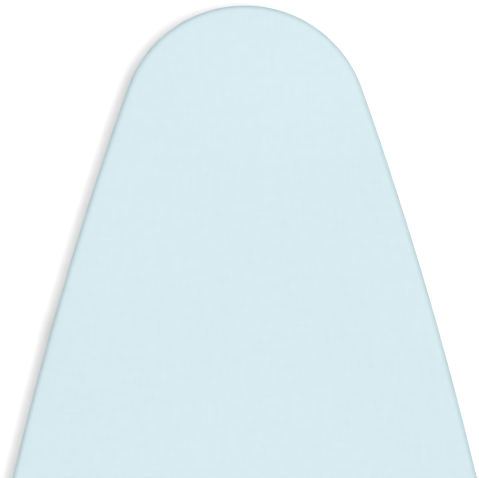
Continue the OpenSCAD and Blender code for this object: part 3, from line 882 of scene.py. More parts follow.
@dataclass
class Gathers:
    """The small folds that the elastic draws into the hem, as a wave that runs round the board."""

    step: float = 2.4 * MM
    wave_length: float = 13.0 * MM
    depth: float = 1.25 * MM

    def wave(self, points: np.ndarray, normals: np.ndarray) -> np.ndarray:
        """Returns the wave's height for each point of the loop, at most about 1.

        Args:
            points: the loop's points in plan.
            normals: the loop's outward normals.

        Returns:
            The wave's height for each point.
        """
        rng = np.random.default_rng(SEED)
        count = len(points)
        run = np.linalg.norm(np.roll(points, -1, 0) - points, axis=1)
        pace = run / self.wave_length * (1 + 0.35 * smooth_noise(count, 60, rng))
        phase = np.cumsum(pace)
        phase *= 2 * math.pi * round(phase[-1]) / phase[-1]
        turning = np.linalg.norm(np.roll(normals, -1, 0) - normals, axis=1) / run
        sharp = np.tile(turning > 2.0, 3).astype(float)
        bend = np.convolve(sharp, np.ones(25) / 25, "same")[count : 2 * count]
        size = 0.7 + 0.3 * bend
        uneven = np.clip(0.8 + 0.35 * smooth_noise(count, 90, rng), 0.35, 1.0)
        return size * uneven * (np.sin(phase) + 0.3 * np.sin(2 * phase + 0.8)) / 1.2

    def lift(self, wave: np.ndarray, fold: float) -> np.ndarray:
        """Returns how far the wave moves the hem up or down; folds rise further than they hang.

        Args:
            wave: the wave's height for each point of the loop.
            fold: how fully that line of the hem is gathered, from 0 to 1.
        """
        rise = 1.0 + 1.3 * max(0.0, 2 * fold - 1)
        return self.depth * fold * (np.minimum(wave, 0.0) + rise * np.maximum(wave, 0.0))


# ---------------------------------------------------------------- soft parts


@dataclass
class Cover:
    """Cotton cover: flat on top, rolled over the pad's edge, and gathered under the rim by its elastic."""

    outline: Outline
    gathers: Gathers
    palette: Palette
    top_z: float
    bottom_z: float
    thickness: float = 0.6 * MM
    roll_r: float = 3.5 * MM
    hem_w: float = 24.0 * MM
    turn_r: float = 1.8 * MM
    tunnel_w: float = 9.0 * MM
    tunnel_h: float = 3.0 * MM
    pucker: float = 0.9 * MM
    rise: float = 0.02 * MM
    stitch_pitch: float = 3.4 * MM
    thread_r: float = 0.28 * MM
    elastic_half_w: float = 2.6 * MM
    elastic_half_t: float = 0.4 * MM

    def profile(self) -> list:
        """Lists the cover's section from its flat top to the end of its hem.

        Returns:
            Rows of (inset, height, how much it folds, how much it puckers sideways).
        """
        top, bottom, roll, skin = self.top_z, self.bottom_z, self.roll_r, self.thickness
        rows = [(roll + 4 * MM, top, 0.0, 0.0), (roll + 1.5 * MM, top - 0.03 * MM, 0.0, 0.0)]
        for k in range(6):
            a = math.pi / 2 * k / 5
            rows.append((roll * (1 - math.sin(a)), top - 0.1 * MM - roll * (1 - math.cos(a)), 0.0, 0.0))
        drop = top - roll - bottom
        for k, part in enumerate((0.22, 0.48, 0.74)):
            rows.append((0.25 * MM * math.sin(math.pi * part), top - roll - drop * part, 0.0, 0.2 * k))
        turn = self.turn_r
        for k in range(1, 5):
            a = math.pi / 2 * k / 4
            rows.append((turn * (1 - math.cos(a)), bottom + turn * (1 - math.sin(a)), 0.1 * k, 0.5 - 0.1 * k))
        start = self.hem_w - self.tunnel_w
        for k, part in enumerate((0.3, 0.65, 0.92)):
            rows.append((turn + (start - turn) * part, bottom, 0.5 + 0.2 * k, 0.0))
        rows.append((start, bottom + 0.5 * MM, 1.0, 0.0))
        middle, half, low = bottom + skin + self.tunnel_h / 2, self.tunnel_w / 2, self.tunnel_h / 2 + 0.3 * MM
        for k in range(1, 10):
            a = math.pi + 2 * math.pi * k / 11
            rows.append((start + half + half * math.cos(a), middle + low * math.sin(a) * 0.9, 1.0, 0.0))
        return rows

    def build(self) -> bpy.types.Object:
        """Returns:
            The cover.
        """
        points, normals = self.outline.loop(self.gathers.step)
        wave = self.gathers.wave(points, normals)
        count = len(points)
        rows, cloth, darker = [], [], []
        profile = self.profile()
        inner = profile[0]
        spine = self.outline.spine(points)
        edge = points - normals * inner[0]
        for share in (0.0, 0.35, 0.6, 0.8, 0.93):
            flat = spine + (edge - spine) * share
            rows.append(np.column_stack([flat, self.top_height(flat, share)]))
            cloth.append(flat)
            darker.append(np.zeros(count))
        path = 0.0
        before = inner[:2]
        side_wave = np.roll(wave, 1)
        for inset, height, fold, pucker in profile:
            path += math.dist(before, (inset, height))
            before = (inset, height)
            flat = points - normals * inset
            shift = self.pucker * pucker * np.minimum(side_wave, 0.25)
            ring = flat + normals * shift[:, None]
            rows.append(np.column_stack([ring, height + self.gathers.lift(wave, fold)]))
            cloth.append(edge + normals * path)
            under = height < self.top_z - self.roll_r
            # Painted shade: the turned mask is 1 below the roll and fades in over it, to darken the cover's
            # colour there.
            darker.append(np.full(count, 1.0 if under else max(0.0, 1.0 - inset / self.roll_r) ** 2))
        cover = mesh_object("cotton_cover", np.concatenate(rows), strip_faces(len(rows), count))
        self.add_cloth_map(cover, np.concatenate(cloth))
        # Stores the mask of painted shade that the cotton reads as turned.
        mask = cover.data.attributes.new("turned", "FLOAT", "POINT")
        mask.data.foreach_set("value", np.concatenate(darker).astype(np.float32))
        merge_points(cover, CLOSE)
        solid = cover.modifiers.new("cloth_thickness", "SOLIDIFY")
        solid.thickness = self.thickness
        solid.offset = -1.0
        self.palette.dress(cover, "cover_cotton")
        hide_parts("cover")
        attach(cover, Body.BOARD.value)
        beyond = path - inner[0]
        self.cut_area(beyond)
        return cover

    def top_height(self, flat: np.ndarray, share: float) -> np.ndarray:
        """Returns the height of the ironing surface, which is all but flat.

        Args:
            flat: points in plan.
            share: how far out they lie, from 0 at the middle line to 1 at the edge.

        Returns:
            The height of each point.
        """
        rng = np.random.default_rng(SEED)
        total = np.zeros(len(flat))
        for _ in range(10):
            wave = rng.normal(0, 1, 2) * 22.0
            total += np.cos(flat @ wave + rng.uniform(0, 6.28))
        return self.top_z - 4 * self.rise + self.rise * total * (1 - share**6)

    def cut_area(self, beyond: float) -> float:
        """Returns the area of the flat cut, which is the outline grown by what turns over its edge.

        Args:
            beyond: how far the cut reaches past the outline.

        Returns:
            The area, in square metres.
        """
        points, normals = self.outline.loop(self.gathers.step)
        grown = points + normals * beyond
        x, y = grown[:, 0], grown[:, 1]
        return float(abs(np.dot(x, np.roll(y, -1)) - np.dot(y, np.roll(x, -1))) / 2)

    def add_cloth_map(self, cover: bpy.types.Object, cloth: np.ndarray) -> None:
        """Stores each point's place on the flat cut, in metres, as the UV map that the weave follows.

        Args:
            cover: the cover.
            cloth: each point's place on the flat cut.
        """
        layer = cover.data.uv_layers.new(name="cloth")
        index = np.empty(len(cover.data.loops), np.int32)
        cover.data.loops.foreach_get("vertex_index", index)
        layer.data.foreach_set("uv", cloth[index].astype(np.float32).ravel())

    def build_stitches(self) -> bpy.types.Object:
        """Makes the line of stitches that closes the hem's tunnel, under the board.

        Returns:
            The stitches, as one object.
        """
        points, normals = self.outline.loop(self.gathers.step)
        wave = self.gathers.wave(points, normals)
        inset = self.hem_w - self.tunnel_w
        line = points - normals * inset
        heights = self.bottom_z + 0.25 * MM + self.gathers.lift(wave, 1.0)
        ring = np.column_stack([line, heights])
        ring = np.concatenate([ring, ring[:1]])
        along = np.concatenate([[0], np.cumsum(np.linalg.norm(np.diff(ring, axis=0), axis=1))])
        total = int(along[-1] / self.stitch_pitch)
        parts = []
        for k in range(total):
            at = (k + np.array([0.08, 0.22, 0.45, 0.68, 0.82])) * along[-1] / total
            path = np.stack([np.interp(at, along, ring[:, i]) for i in range(3)], 1)
            path[[0, -1], 2] += 0.35 * MM
            path[:, 2] -= 0.15 * MM
            parts.append(swept(path, self.thread_r, 5))
        made = mesh_object("hem_stitches", *joined(parts))
        self.palette.dress(made, "cover_cotton", "sewing_thread")
        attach(made, Body.BOARD.value)
        return made

    def build_elastic(self) -> bpy.types.Object:
        """Makes the flat elastic that runs in the tunnel and follows its folds.

        Returns:
            The elastic.
        """
        points, normals = self.outline.loop(self.gathers.step)
        wave = self.gathers.wave(points, normals)
        middle = self.hem_w - self.tunnel_w / 2
        level = self.bottom_z + self.thickness + self.tunnel_h / 2
        half_w, half_t = self.elastic_half_w, self.elastic_half_t
        section = [(-half_w, -half_t), (half_w, -half_t), (half_w, half_t), (-half_w, half_t)]
        rows = [
            np.column_stack([points - normals * (middle + dx), level + dz + self.gathers.lift(wave, 1.0)])
            for dx, dz in section
        ]
        faces = strip_faces(len(rows), len(points)) + wrap_faces(len(rows), len(points))
        made = mesh_object("hem_elastic_band", np.concatenate(rows), inside_out(faces))
        crisp(made)
        self.palette.dress(made, "elastic_knit")
        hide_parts("hem_elastic")
        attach(made, Body.BOARD.value)
        return made


@dataclass
class FeltPad:
    """Felt pad between the cover and the panel, with soft cut edges."""

    outline: Outline
    palette: Palette
    low_z: float
    high_z: float
    skin: float = 1.4 * MM
    edge_r: float = 1.6 * MM
    shoulder_r: float = 3.6 * MM
    slack: float = 0.3 * MM
    step: float = 8.0 * MM

    def build(self) -> bpy.types.Object:
        """Returns:
            The pad.
        """
        points, normals = self.outline.loop(self.step)
        count = len(points)
        skin, shoulder = self.skin, self.shoulder_r
        spine = self.outline.spine(points)
        high = self.high_z - self.slack
        section = [(skin + self.edge_r, self.low_z), (skin, self.low_z + self.edge_r)]
        for k in range(7):
            a = math.pi / 2 * k / 6
            section.append((skin + shoulder * (1 - math.cos(a)), high - shoulder * (1 - math.sin(a))))
        edge_low = points - normals * section[0][0]
        edge_high = points - normals * section[-1][0]
        under = np.full(count, self.low_z)
        rows = [np.column_stack([spine + (edge_low - spine) * s, under]) for s in (0.0, 0.5)]
        rows += [np.column_stack([points - normals * inset, np.full(count, z)]) for inset, z in section]
        rows += [np.column_stack([spine + (edge_high - spine) * s, np.full(count, high)]) for s in (0.5, 0.0)]
        pad = mesh_object("felt_pad", np.concatenate(rows), strip_faces(len(rows), count))
        merge_points(pad, CLOSE)
        crisp(pad, 50.0)
        self.palette.dress(pad, "felt_pad")
        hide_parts("pad")
        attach(pad, Body.BOARD.value)
        return pad


# ---------------------------------------------------------------- steel parts


@dataclass
class MeshPanel:
    """Expanded steel panel: rows of diamond openings inside a plain edge."""

    outline: Outline
    palette: Palette
    high_z: float
    inset: float = 2.7 * MM
    edge_w: float = 9.0 * MM
    cell_x: float = 22.0 * MM
    cell_y: float = 11.0 * MM
    open_share: float = 0.74
    sheet_t: float = 0.8 * MM
    lean: float = 0.35 * MM
    sink: float = 0.1 * MM

    def build(self) -> bpy.types.Object:
        """Makes the panel: open cells inside, cells without a hole along the edge.

        Returns:
            The panel.
        """
        border, normals = self.outline.loop(6.0 * MM)
        border = border - normals * self.inset
        half_x, half_y = self.cell_x / 2, self.cell_y / 2
        corners = np.array([(-half_x, 0.0), (0.0, -half_y), (half_x, 0.0), (0.0, half_y)])
        rows = int(self.outline.length / self.cell_y) + 2
        columns = int(self.outline.width / self.cell_x / 2) + 2
        work = bmesh.new()
        level, lean = self.high_z - self.sink, self.lean
        for j in range(-rows, rows + 1):
            for i in range(-columns, columns + 1):
                centre = np.array([(i + 0.5 * (j % 2)) * self.cell_x, j * half_y])
                cell = corners + centre
                kept = self.clipped(cell, border)
                if len(kept) < 3:
                    continue
                outer = [work.verts.new((x, y, level)) for x, y in kept]
                if not all(self.outline.inside(x, y, self.inset + self.edge_w) for x, y in cell):
                    work.faces.new(outer)
                    continue
                tilt = (0.0, lean, 0.0, -lean)
                hole = corners * self.open_share + centre
                inner = [work.verts.new((x, y, level - lean + t)) for (x, y), t in zip(hole, tilt)]
                for k in range(4):
                    n = (k + 1) % 4
                    work.faces.new((outer[k], outer[n], inner[n], inner[k]))
        bmesh.ops.remove_doubles(work, verts=work.verts, dist=NEAR)
        bmesh.ops.recalc_face_normals(work, faces=work.faces)
        mesh = bpy.data.meshes.new("mesh_panel")
        work.to_mesh(mesh)
        work.free()
        panel = add_object("mesh_panel", mesh)
        solid = panel.modifiers.new("sheet", "SOLIDIFY")
        solid.thickness = self.sheet_t
        solid.offset = -1.0 if mesh.polygons[0].normal.z > 0 else 1.0
        self.palette.dress(panel, "frame_paint")
        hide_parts("top_panel")
        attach(panel, Body.BOARD.value)
        return panel

    def clipped(self, cell: np.ndarray, border: np.ndarray) -> np.ndarray:
        """Cuts a cell down to what lies inside the border.

        Args:
            cell: the cell's corners in plan.
            border: the convex border's points, anticlockwise.

        Returns:
            The corners of what is left, which may be none.
        """
        if all(self.outline.inside(x, y, self.inset + 1.0 * MM) for x, y in cell):
            return cell
        near = np.linalg.norm(border - cell.mean(0), axis=1) < 4 * self.cell_x
        kept = cell
        for k in np.flatnonzero(near):
            a, b = border[k], border[(k + 1) % len(border)]
            side = (b[0] - a[0]) * (kept[:, 1] - a[1]) - (b[1] - a[1]) * (kept[:, 0] - a[0])
            if (side >= 0).all():
                continue
            out = []
            for m in range(len(kept)):
                n = (m + 1) % len(kept)
                if side[m] >= 0:
                    out.append(kept[m])
                if (side[m] >= 0) != (side[n] >= 0):
                    out.append(kept[m] + (kept[n] - kept[m]) * side[m] / (side[m] - side[n]))
            kept = np.array(out).reshape(-1, 2)
            if len(kept) < 3:
                return kept
        if not near.any() and not self.outline.inside(*cell.mean(0), self.inset):
            return np.zeros((0, 2))
        return kept


@dataclass
class LegFrame:
    """Where one leg lies at rest: its top pivot, its angle, and which way it runs."""

    pivot_y: float
    pivot_z: float
    slope: float
    way: float

    def matrix(self) -> Matrix:
        """Builds the leg's own frame: +Y runs down the leg, and +Z faces the board when folded.

        Returns:
            The matrix from the leg's own frame to the board's.
        """
        turn = Matrix.Rotation(-self.slope, 4, "X")
        flip = Matrix.Scale(-1.0, 4, (0.0, 1.0, 0.0)) if self.way < 0 else Matrix.Identity(4)
        return Matrix.Translation((0.0, self.pivot_y, self.pivot_z)) @ flip @ turn


@dataclass
class Welds:
    """Weld beads where tubes, straps and foot bars meet."""

    palette: Palette
    tube_r: float = 11.0 * MM
    foot_r: float = 12.7 * MM
    cross_r: float = 8.0 * MM
    bead_r: float = 1.5 * MM
    strap_bead: float = 20.0 * MM
    strap_aside: float = 5.6 * MM
    strap_up: float = 9.8 * MM

    def ring(self, centre_x: float, centre_y: float, pipe_r: float, wall_r: float, across: bool) -> tuple:
        """Makes the bead round a pipe that meets a larger pipe at a right angle.

        Args:
            centre_x: place of the joint across the leg.
            centre_y: place of the larger pipe's axis along the leg.
            pipe_r: radius of the pipe that ends at the joint.
            wall_r: radius of the pipe that it meets.
            across: True where the ending pipe runs across the leg.

        Returns:
            The bead's points and faces, in the leg's own frame.
        """
        count = 90
        a = full_turn(count)
        lift = np.sqrt(wall_r**2 - (pipe_r * np.sin(a)) ** 2)
        if across:
            side = -np.sign(centre_x)
            path = np.stack([centre_x + side * lift, centre_y + pipe_r * np.cos(a), pipe_r * np.sin(a)], 1)
        else:
            path = np.stack([centre_x + pipe_r * np.cos(a), centre_y - lift, pipe_r * np.sin(a)], 1)
        ripple = self.bead_r * (1 + 0.16 * np.abs(np.sin(a * 14)) + 0.05 * np.sin(a * 3))
        return swept(path, ripple, 8, closed=True)

    def line(self, x: float, y: float, z: float, length: float) -> tuple:
        """Makes a straight bead along the leg, tapered at both ends.

        Args:
            x: its place across the leg.
            y: the place of its middle along the leg.
            z: its height above the leg's middle plane.
            length: its length.

        Returns:
            The bead's points and faces.
        """
        t = np.linspace(0, 1, 26)
        path = np.stack([np.full(26, x), y + (t - 0.5) * length, np.full(26, z)], 1)
        taper = 0.35 + 0.65 * np.sin(math.pi * t) ** 0.4
        ripple = self.bead_r * taper * (1 + 0.12 * np.abs(np.sin(t * 40)))
        return swept(path, ripple, 8)

    def build(self, name: str, leg: LegFrame, body: Body, parts: list) -> bpy.types.Object:
        """Makes one leg's beads from parts in the leg's own frame.

        Args:
            name: the object's name.
            leg: where the leg lies.
            body: the body that the beads ride on.
            parts: the beads, as pairs of points and faces.

        Returns:
            The beads, as one object.
        """
        points, faces = moved(joined(parts), leg.matrix())
        made = mesh_object(name, points, faces)
        self.palette.dress(made, "frame_paint")
        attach(made, body.value)
        return made


@dataclass
class HexFasteners:
    """Bolts and nuts with chamfered hexagon heads, built along X."""

    palette: Palette
    corner_r: float = 7.5 * MM
    shank_r: float = 4.0 * MM
    head_t: float = 4.5 * MM
    pitch: float = 1.25 * MM
    thread_depth: float = 0.45 * MM
    bore_gap: float = 0.05 * MM
    closed_r: float = 1e-5
    sides: int = 72

    def hexagon(self, angle: np.ndarray) -> np.ndarray:
        """Returns the hexagon's radius at each angle."""
        flat = self.corner_r * math.cos(math.pi / 6)
        return flat / np.cos((angle + math.pi / 6) % (math.pi / 3) - math.pi / 6)

    def prism(self, low: float, high: float, bore_r: float) -> tuple:
        """Makes a hexagon prism with a chamfer at its high end and a bore or a closed face.

        Args:
            low: the place of the bearing face along X.
            high: the place of the chamfered face along X.
            bore_r: the radius of the bore, or 0 for a bolt's solid head.

        Returns:
            The points and faces of the prism.
        """
        angle = full_turn(self.sides)
        reach = self.hexagon(angle)
        flat = self.corner_r * math.cos(math.pi / 6) * 0.97
        way = math.copysign(1.0, high - low)
        drop = way * np.maximum(reach - flat, 0) * math.tan(math.radians(30))

        def ring(x: object, r: object) -> np.ndarray:
            """Returns one ring of points round the X axis."""
            return np.stack([np.broadcast_to(x, angle.shape), r * np.cos(angle), r * np.sin(angle)], 1)

        bore = np.full(self.sides, max(bore_r, self.closed_r))
        rows = [ring(low, bore), ring(low, reach * 0.985)]
        rows += [ring(low + way * 0.15 * MM, reach), ring(high - drop, reach)]
        rows += [ring(high, np.full(self.sides, flat)), ring(high, bore)]
        faces = strip_faces(len(rows), self.sides)
        faces += (wrap_faces if bore_r > 0 else end_faces)(len(rows), self.sides)
        return np.concatenate(rows), faces if way > 0 else inside_out(faces)

    def shank(self, start: float, end: float) -> tuple:
        """Makes a bolt's shank with a chamfered, threaded end.

        Args:
            start: the place under the head, along X.
            end: the place of the threaded end.

        Returns:
            The points and faces of the shank.
        """
        way = math.copysign(1.0, end - start)
        profile = [(start, self.closed_r), (start, self.shank_r)]
        thread_from = end - way * 8 * self.pitch
        profile.append((thread_from, self.shank_r))
        for k in range(1, 15):
            depth = 0.0 if k % 2 else self.thread_depth
            profile.append((thread_from + way * k * self.pitch / 2, self.shank_r - depth))
        profile += [(end, self.shank_r - 2 * self.thread_depth), (end, self.closed_r)]
        points, faces = turned(profile, 36)
        return points, faces if way < 0 else inside_out(faces)

    def build(self, name: str, node: str, body: Body, parts: list, centre: Vector) -> bpy.types.Object:
        """Makes one node's fasteners, mirrored to both sides of the board.

        Args:
            name: the object's name.
            node: the CAD node that it replaces.
            body: the body that it rides on.
            parts: the right-hand fastener's points and faces.
            centre: the joint that they stand on.

        Returns:
            The fasteners, as one object.
        """
        right = joined(parts)
        left = moved(right, Matrix.Scale(-1.0, 4, (1.0, 0.0, 0.0)))
        points, faces = moved(joined([right, left]), Matrix.Translation(centre))
        made = mesh_object(name, points, faces)
        merge_points(made, NEAR)
        crisp(made, 30.0)
        self.palette.dress(made, "zinc_steel")
        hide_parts(node)
        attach(made, body.value)
        return made


@dataclass
class LeverParts:
    """What the squeeze lever carries beyond its wire: the ribbed grip and the return spring."""

    palette: Palette
    spring_wire_r: float = 0.8 * MM
    lever_r: float = 3.0 * MM
    turns: float = 4.25
    axle_gap: float = 0.5 * MM
    tail_len: float = 7.0 * MM
    ribs: int = 16
    rib_from: float = 4.0 * MM
    rib_end_gap: float = 1.5 * MM

    def build_grip(self) -> bpy.types.Object:
        """Makes the plastic grip: a ribbed sleeve with a collar and a round end.

        Returns:
            The grip.
        """
        low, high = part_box("lever_grip")
        radius = (high.y - low.y) / 2
        length = high.x - low.x
        centre = Vector((low.x, (low.y + high.y) / 2, (low.z + high.z) / 2))
        sides = 64
        angle = full_turn(sides)
        profile = [(0.0, 0.56), (0.0, 0.92), (0.4 * MM, 1.0), (2.6 * MM, 1.0), (3.2 * MM, 0.9)]
        end_from = length - radius
        rib_to = end_from - self.rib_end_gap
        profile += [(x, 0.9) for x in np.linspace(self.rib_from, rib_to, 12)]
        profile += [(end_from - 0.8 * MM, 0.98)]
        for k in range(1, 10):
            a = math.pi / 2 * k / 9
            profile.append((end_from + radius * math.sin(a), 0.98 * math.cos(a) + 1e-4))
        rows = []
        for x, share in profile:
            ribbed = self.rib_from <= x <= rib_to
            rib = 1 + (0.07 * np.cos(angle * self.ribs) if ribbed else 0.0)
            r = radius * share * rib * np.ones(sides)
            rows.append(np.stack([np.full(sides, x), r * np.cos(angle), r * np.sin(angle)], 1))
        part = (np.concatenate(rows), strip_faces(len(rows), sides))
        made = mesh_object("ribbed_grip", *moved(part, Matrix.Translation(centre)))
        merge_points(made, NEAR)
        crisp(made, 40.0)
        self.palette.dress(made, "grip_plastic")
        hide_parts("lever_grip")
        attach(made, Body.LEVER.value)
        return made

    def build_spring(self, pivot: Vector, axle_r: float) -> bpy.types.Object:
        """Makes the torsion spring as one wound wire.

        Args:
            pivot: the lever's pivot, on the board's middle plane.
            axle_r: the radius of the axle that the spring's end bears on.

        Returns:
            The spring.
        """
        low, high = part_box("return_spring")
        wire = self.spring_wire_r
        coil_r = self.lever_r + 2 * wire
        start_x, end_x = low.x + wire, high.x - wire
        turn = np.linspace(0, self.turns * 2 * math.pi, 150)
        angle = -math.pi / 2 - turn
        coil = np.stack(
            [
                start_x + (end_x - start_x) * turn / turn[-1],
                pivot.y + coil_r * np.cos(angle),
                pivot.z + coil_r * np.sin(angle),
            ],
            1,
        )
        tip_y = low.y + wire
        under = pivot.z - axle_r - wire - self.axle_gap
        t = np.linspace(0, 1, 20)[:, None]
        leg = np.array([start_x, tip_y, under]) * (1 - t) + coil[0] * t
        tangent = coil[-1] - coil[-2]
        tangent /= np.linalg.norm(tangent)
        tail = coil[-1] + tangent * np.linspace(0.5 * MM, self.tail_len, 9)[:, None]
        path = np.concatenate([leg[:-1], coil, tail])
        made = mesh_object("wound_spring", *swept(path, wire, 12))
        self.palette.dress(made, "zinc_steel")
        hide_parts("return_spring")
        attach(made, Body.SLIDER.value)
        return made


# ---------------------------------------------------------------- studio


@dataclass(frozen=True)
class Lamp:
    """One soft light of the studio.

    Attributes:
        name: the light's name.
        spot: where it stands.
        aim: the point that it faces.
        size: its width.
        power: its power in watts.
        even: whether it lights near and far things alike, as a distant lamp does.
    """

    name: str
    spot: tuple[float, float, float]
    aim: tuple[float, float, float]
    size: float
    power: float
    even: bool = False

    def build(self) -> bpy.types.Object:
        """Makes the light and aims it.

        Returns:
            The light.
        """
        data = bpy.data.lights.new(self.name, "POINT" if self.even else "AREA")
        if self.even:
            data.shadow_soft_size = self.size / 2
        else:
            data.shape = "DISK"
            data.size = self.size
        data.energy = self.power
        light = add_object(self.name, data)
        light.location = self.spot
        light.rotation_euler = (Vector(self.aim) - Vector(self.spot)).to_track_quat("-Z", "Y").to_euler()
        light.visible_camera = False
        if self.even:
            data.use_nodes = True
            nodes = data.node_tree.nodes
            falloff = nodes.new("ShaderNodeLightFalloff")
            falloff.inputs["Strength"].default_value = 1.0
            data.node_tree.links.new(falloff.outputs["Constant"], nodes["Emission"].inputs["Strength"])
        return light


@dataclass
class Studio:
    """Camera straight above the nose, a pale floor, and soft light with one small lamp beside the camera."""

    top_z: float
    nose_tip_y: float
    distance: float = 0.95
    view_width: float = 0.2725
    sensor: float = 36.0
    aim_x: float = -0.0030
    aim_back: float = 0.1333
    lamp_aside: float = 0.0095

    def build_camera(self) -> bpy.types.Object:
        """Makes the camera, looking straight down.

        Returns:
            The camera.
        """
        data = bpy.data.cameras.new("camera")
        data.sensor_width = self.sensor
        data.lens = self.sensor * self.distance / self.view_width
        data.clip_start = 0.05
        camera = add_object("camera", data)
        camera.location = (self.aim_x, self.nose_tip_y - self.aim_back, self.top_z + self.distance)
        bpy.context.scene.camera = camera
        return camera

    def build_floor(self) -> bpy.types.Object:
        """Makes the pale floor.

        Returns:
            The floor.
        """
        size = 40.0
        corners = [(-size, -size, 0.0), (size, -size, 0.0), (size, size, 0.0), (-size, size, 0.0)]
        floor = mesh_object("floor", np.array(corners), [(0, 1, 2, 3)], smooth=False)
        material, _, shader = new_material("studio_floor")
        shader.inputs["Base Color"].default_value = (0.93, 0.93, 0.93, 1.0)
        shader.inputs["Roughness"].default_value = 0.9
        floor.data.materials.append(material)
        return floor

    def build_light(self) -> None:
        """Makes the lamps and the even light all round."""
        aim_y = self.nose_tip_y - self.aim_back
        over = (self.aim_x + self.lamp_aside, aim_y, self.top_z + self.distance)
        lamps = (
            Lamp("lamp_by_camera", over, (over[0], aim_y, 0.0), 0.018, 18.8, True),
            Lamp("key", (1.6, 2.2, 3.4), (0.0, 0.1, 0.6), 2.0, 44.0),
            Lamp("fill", (-2.4, -1.0, 2.4), (0.0, 0.0, 0.6), 2.4, 18.0),
            Lamp("low_right", (1.1, 0.4, 0.7), (0.3, 0.4, 0.0), 0.8, 1.5),
            Lamp("low_left", (-1.1, 0.4, 0.7), (-0.3, 0.4, 0.0), 0.8, 1.5),
        )
        for lamp in lamps:
            lamp.build()
        world = bpy.data.worlds.new("studio")
        world.use_nodes = True
        background = world.node_tree.nodes["Background"]
        background.inputs["Color"].default_value = (1.0, 1.0, 1.0, 1.0)
        background.inputs["Strength"].default_value = 0.37
        bpy.context.scene.world = world
        bpy.context.scene.view_settings.view_transform = "Standard"


# ---------------------------------------------------------------- the whole board


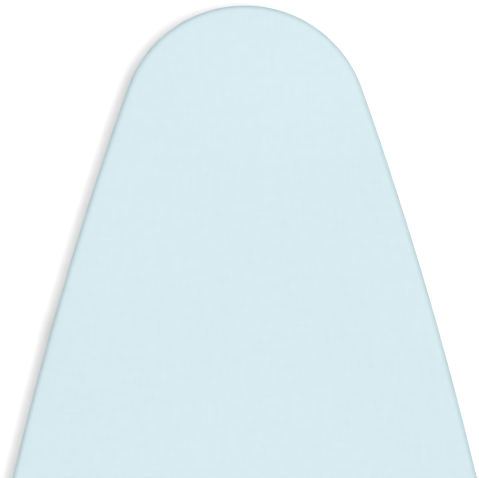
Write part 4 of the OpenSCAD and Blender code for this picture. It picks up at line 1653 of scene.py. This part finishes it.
@dataclass
class IroningBoard:
    """The whole object: takes its places from the frame and builds every visible piece."""

    palette: Palette

    def node_middle(self, node: str) -> Vector:
        """Returns the middle of a CAD node's box."""
        low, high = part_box(node)
        return (low + high) / 2

    def joint(self, name: str) -> dict:
        """Returns a joint of the record by name."""
        return next(j for j in frame["record"]["behaviour"]["joints"] if j["name"] == name)

    def joint_place(self, name: str) -> Vector:
        """Returns the place of a joint at rest."""
        return Vector(self.joint(name)["pos_m"])

    def dress_nodes(self) -> None:
        """Puts the finishes on every CAD node."""
        slots = {part["node"]: part["material_slot"] for part in frame["record"]["subparts"]}
        for name, node in frame["nodes"].items():
            self.palette.dress(node, slots[name])
            log.info("dressed %s in %s", name, slots[name])

    def build_soft(self) -> Outline:
        """Builds the cover, its stitches and elastic, and the pad.

        Returns:
            The board's outline, which the panel follows too.
        """
        low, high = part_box("cover")
        outline = Outline(length=round(high.y - low.y, 3), width=high.x - low.x)
        pad_low, pad_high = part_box("pad")
        cover = Cover(outline, Gathers(), self.palette, high.z, low.z)
        report(cover.build())
        report(cover.build_stitches())
        report(cover.build_elastic())
        report(FeltPad(outline, self.palette, pad_low.z, pad_high.z).build())
        return outline

    def build_panel(self, outline: Outline) -> None:
        """Builds the expanded steel panel."""
        report(MeshPanel(outline, self.palette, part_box("top_panel")[1].z).build())

    def build_welds(self) -> None:
        """Builds the weld beads of both legs."""
        pivot, axle = self.joint_place("outer_leg_fold"), self.joint_place("slider_pivot")
        slope = math.radians(self.joint("outer_leg_fold")["range_deg"][1])
        foot = self.node_middle("outer_foot_bar")
        leg_len = math.hypot(foot.y - pivot.y, foot.z - pivot.z)
        outer_x = self.node_middle("outer_tube_right").x
        inner_x = self.node_middle("inner_tube_right").x
        welds = Welds(self.palette)
        outer = LegFrame(pivot.y, pivot.z, slope, -1.0)
        inner = LegFrame(axle.y, axle.z, slope, 1.0)
        foot_joints = [welds.ring(s * outer_x, leg_len, welds.tube_r, welds.foot_r, False) for s in (-1, 1)]
        straps = []
        for node, side in (("outer_upper_strap", 1.0), ("outer_lower_strap", -1.0)):
            middle = self.node_middle(node)
            at = math.hypot(middle.y - pivot.y, middle.z - pivot.z)
            spots = [s * (outer_x + t * welds.strap_aside) for s in (-1, 1) for t in (-1, 1)]
            straps += [welds.line(x, at, side * welds.strap_up, welds.strap_bead) for x in spots]
        report(welds.build("outer_leg_welds", outer, Body.OUTER_LEG, foot_joints + straps))
        cross = self.node_middle("inner_cross_tube")
        cross_at = math.hypot(cross.y - axle.y, cross.z - axle.z)
        parts = [welds.ring(s * inner_x, leg_len, welds.tube_r, welds.foot_r, False) for s in (-1, 1)]
        parts += [welds.ring(s * inner_x, cross_at, welds.cross_r, welds.tube_r, True) for s in (-1, 1)]
        report(welds.build("inner_leg_welds", inner, Body.INNER_LEG, parts))

    def build_fasteners(self) -> None:
        """Builds the bolts and nuts of the fixed pivot and of the crossing."""
        kit = HexFasteners(self.palette)
        sets = (
            ("pivot_bolts", "pivot_nuts", Body.BOARD, "outer_leg_fold", 0.0),
            ("centre_bolts", "centre_nuts", Body.OUTER_LEG, "inner_leg_fold", 1.2 * MM),
        )
        for bolts, nuts, body, joint, dome in sets:
            centre = self.joint_place(joint)
            bolt_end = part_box(bolts)[1].x
            thin_end = self.inner_face(nuts)
            head = kit.prism(bolt_end - kit.head_t, bolt_end, 0.0)
            shank = kit.shank(bolt_end - kit.head_t, thin_end)
            report(kit.build(bolts + "_turned", bolts, body, [head, shank], centre))
            nut = kit.prism(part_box(nuts)[1].x, thin_end + dome, kit.shank_r + kit.bore_gap)
            report(kit.build(nuts + "_turned", nuts, body, [nut], centre))

    def inner_face(self, node: str) -> float:
        """Returns the least distance of a mirrored pair's points from the board's middle plane."""
        points = frame["nodes"][node].data.vertices
        return min(abs(v.co.x) for v in points)

    def build_lever(self) -> None:
        """Builds the grip and the return spring."""
        parts = LeverParts(self.palette)
        low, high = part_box("slide_axle")
        report(parts.build_grip())
        report(parts.build_spring(self.joint_place("lever_squeeze"), (high.z - low.z) / 2))


def report(piece: bpy.types.Object) -> None:
    """Logs a finished piece and its number of points."""
    log.info("built %s, %d points", piece.name, len(piece.data.vertices))


def main() -> None:
    """Builds the studio and the board."""
    logging.basicConfig(level=logging.INFO, format="%(name)s: %(message)s")
    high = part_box("cover")[1]
    studio = Studio(top_z=high.z, nose_tip_y=round(high.y, 3))
    studio.build_camera()
    studio.build_floor()
    studio.build_light()
    palette = Palette()
    palette.build()
    board = IroningBoard(palette)
    board.dress_nodes()
    outline = board.build_soft()
    board.build_panel(outline)
    board.build_welds()
    board.build_fasteners()
    board.build_lever()


if __name__ == "__main__":
    main()
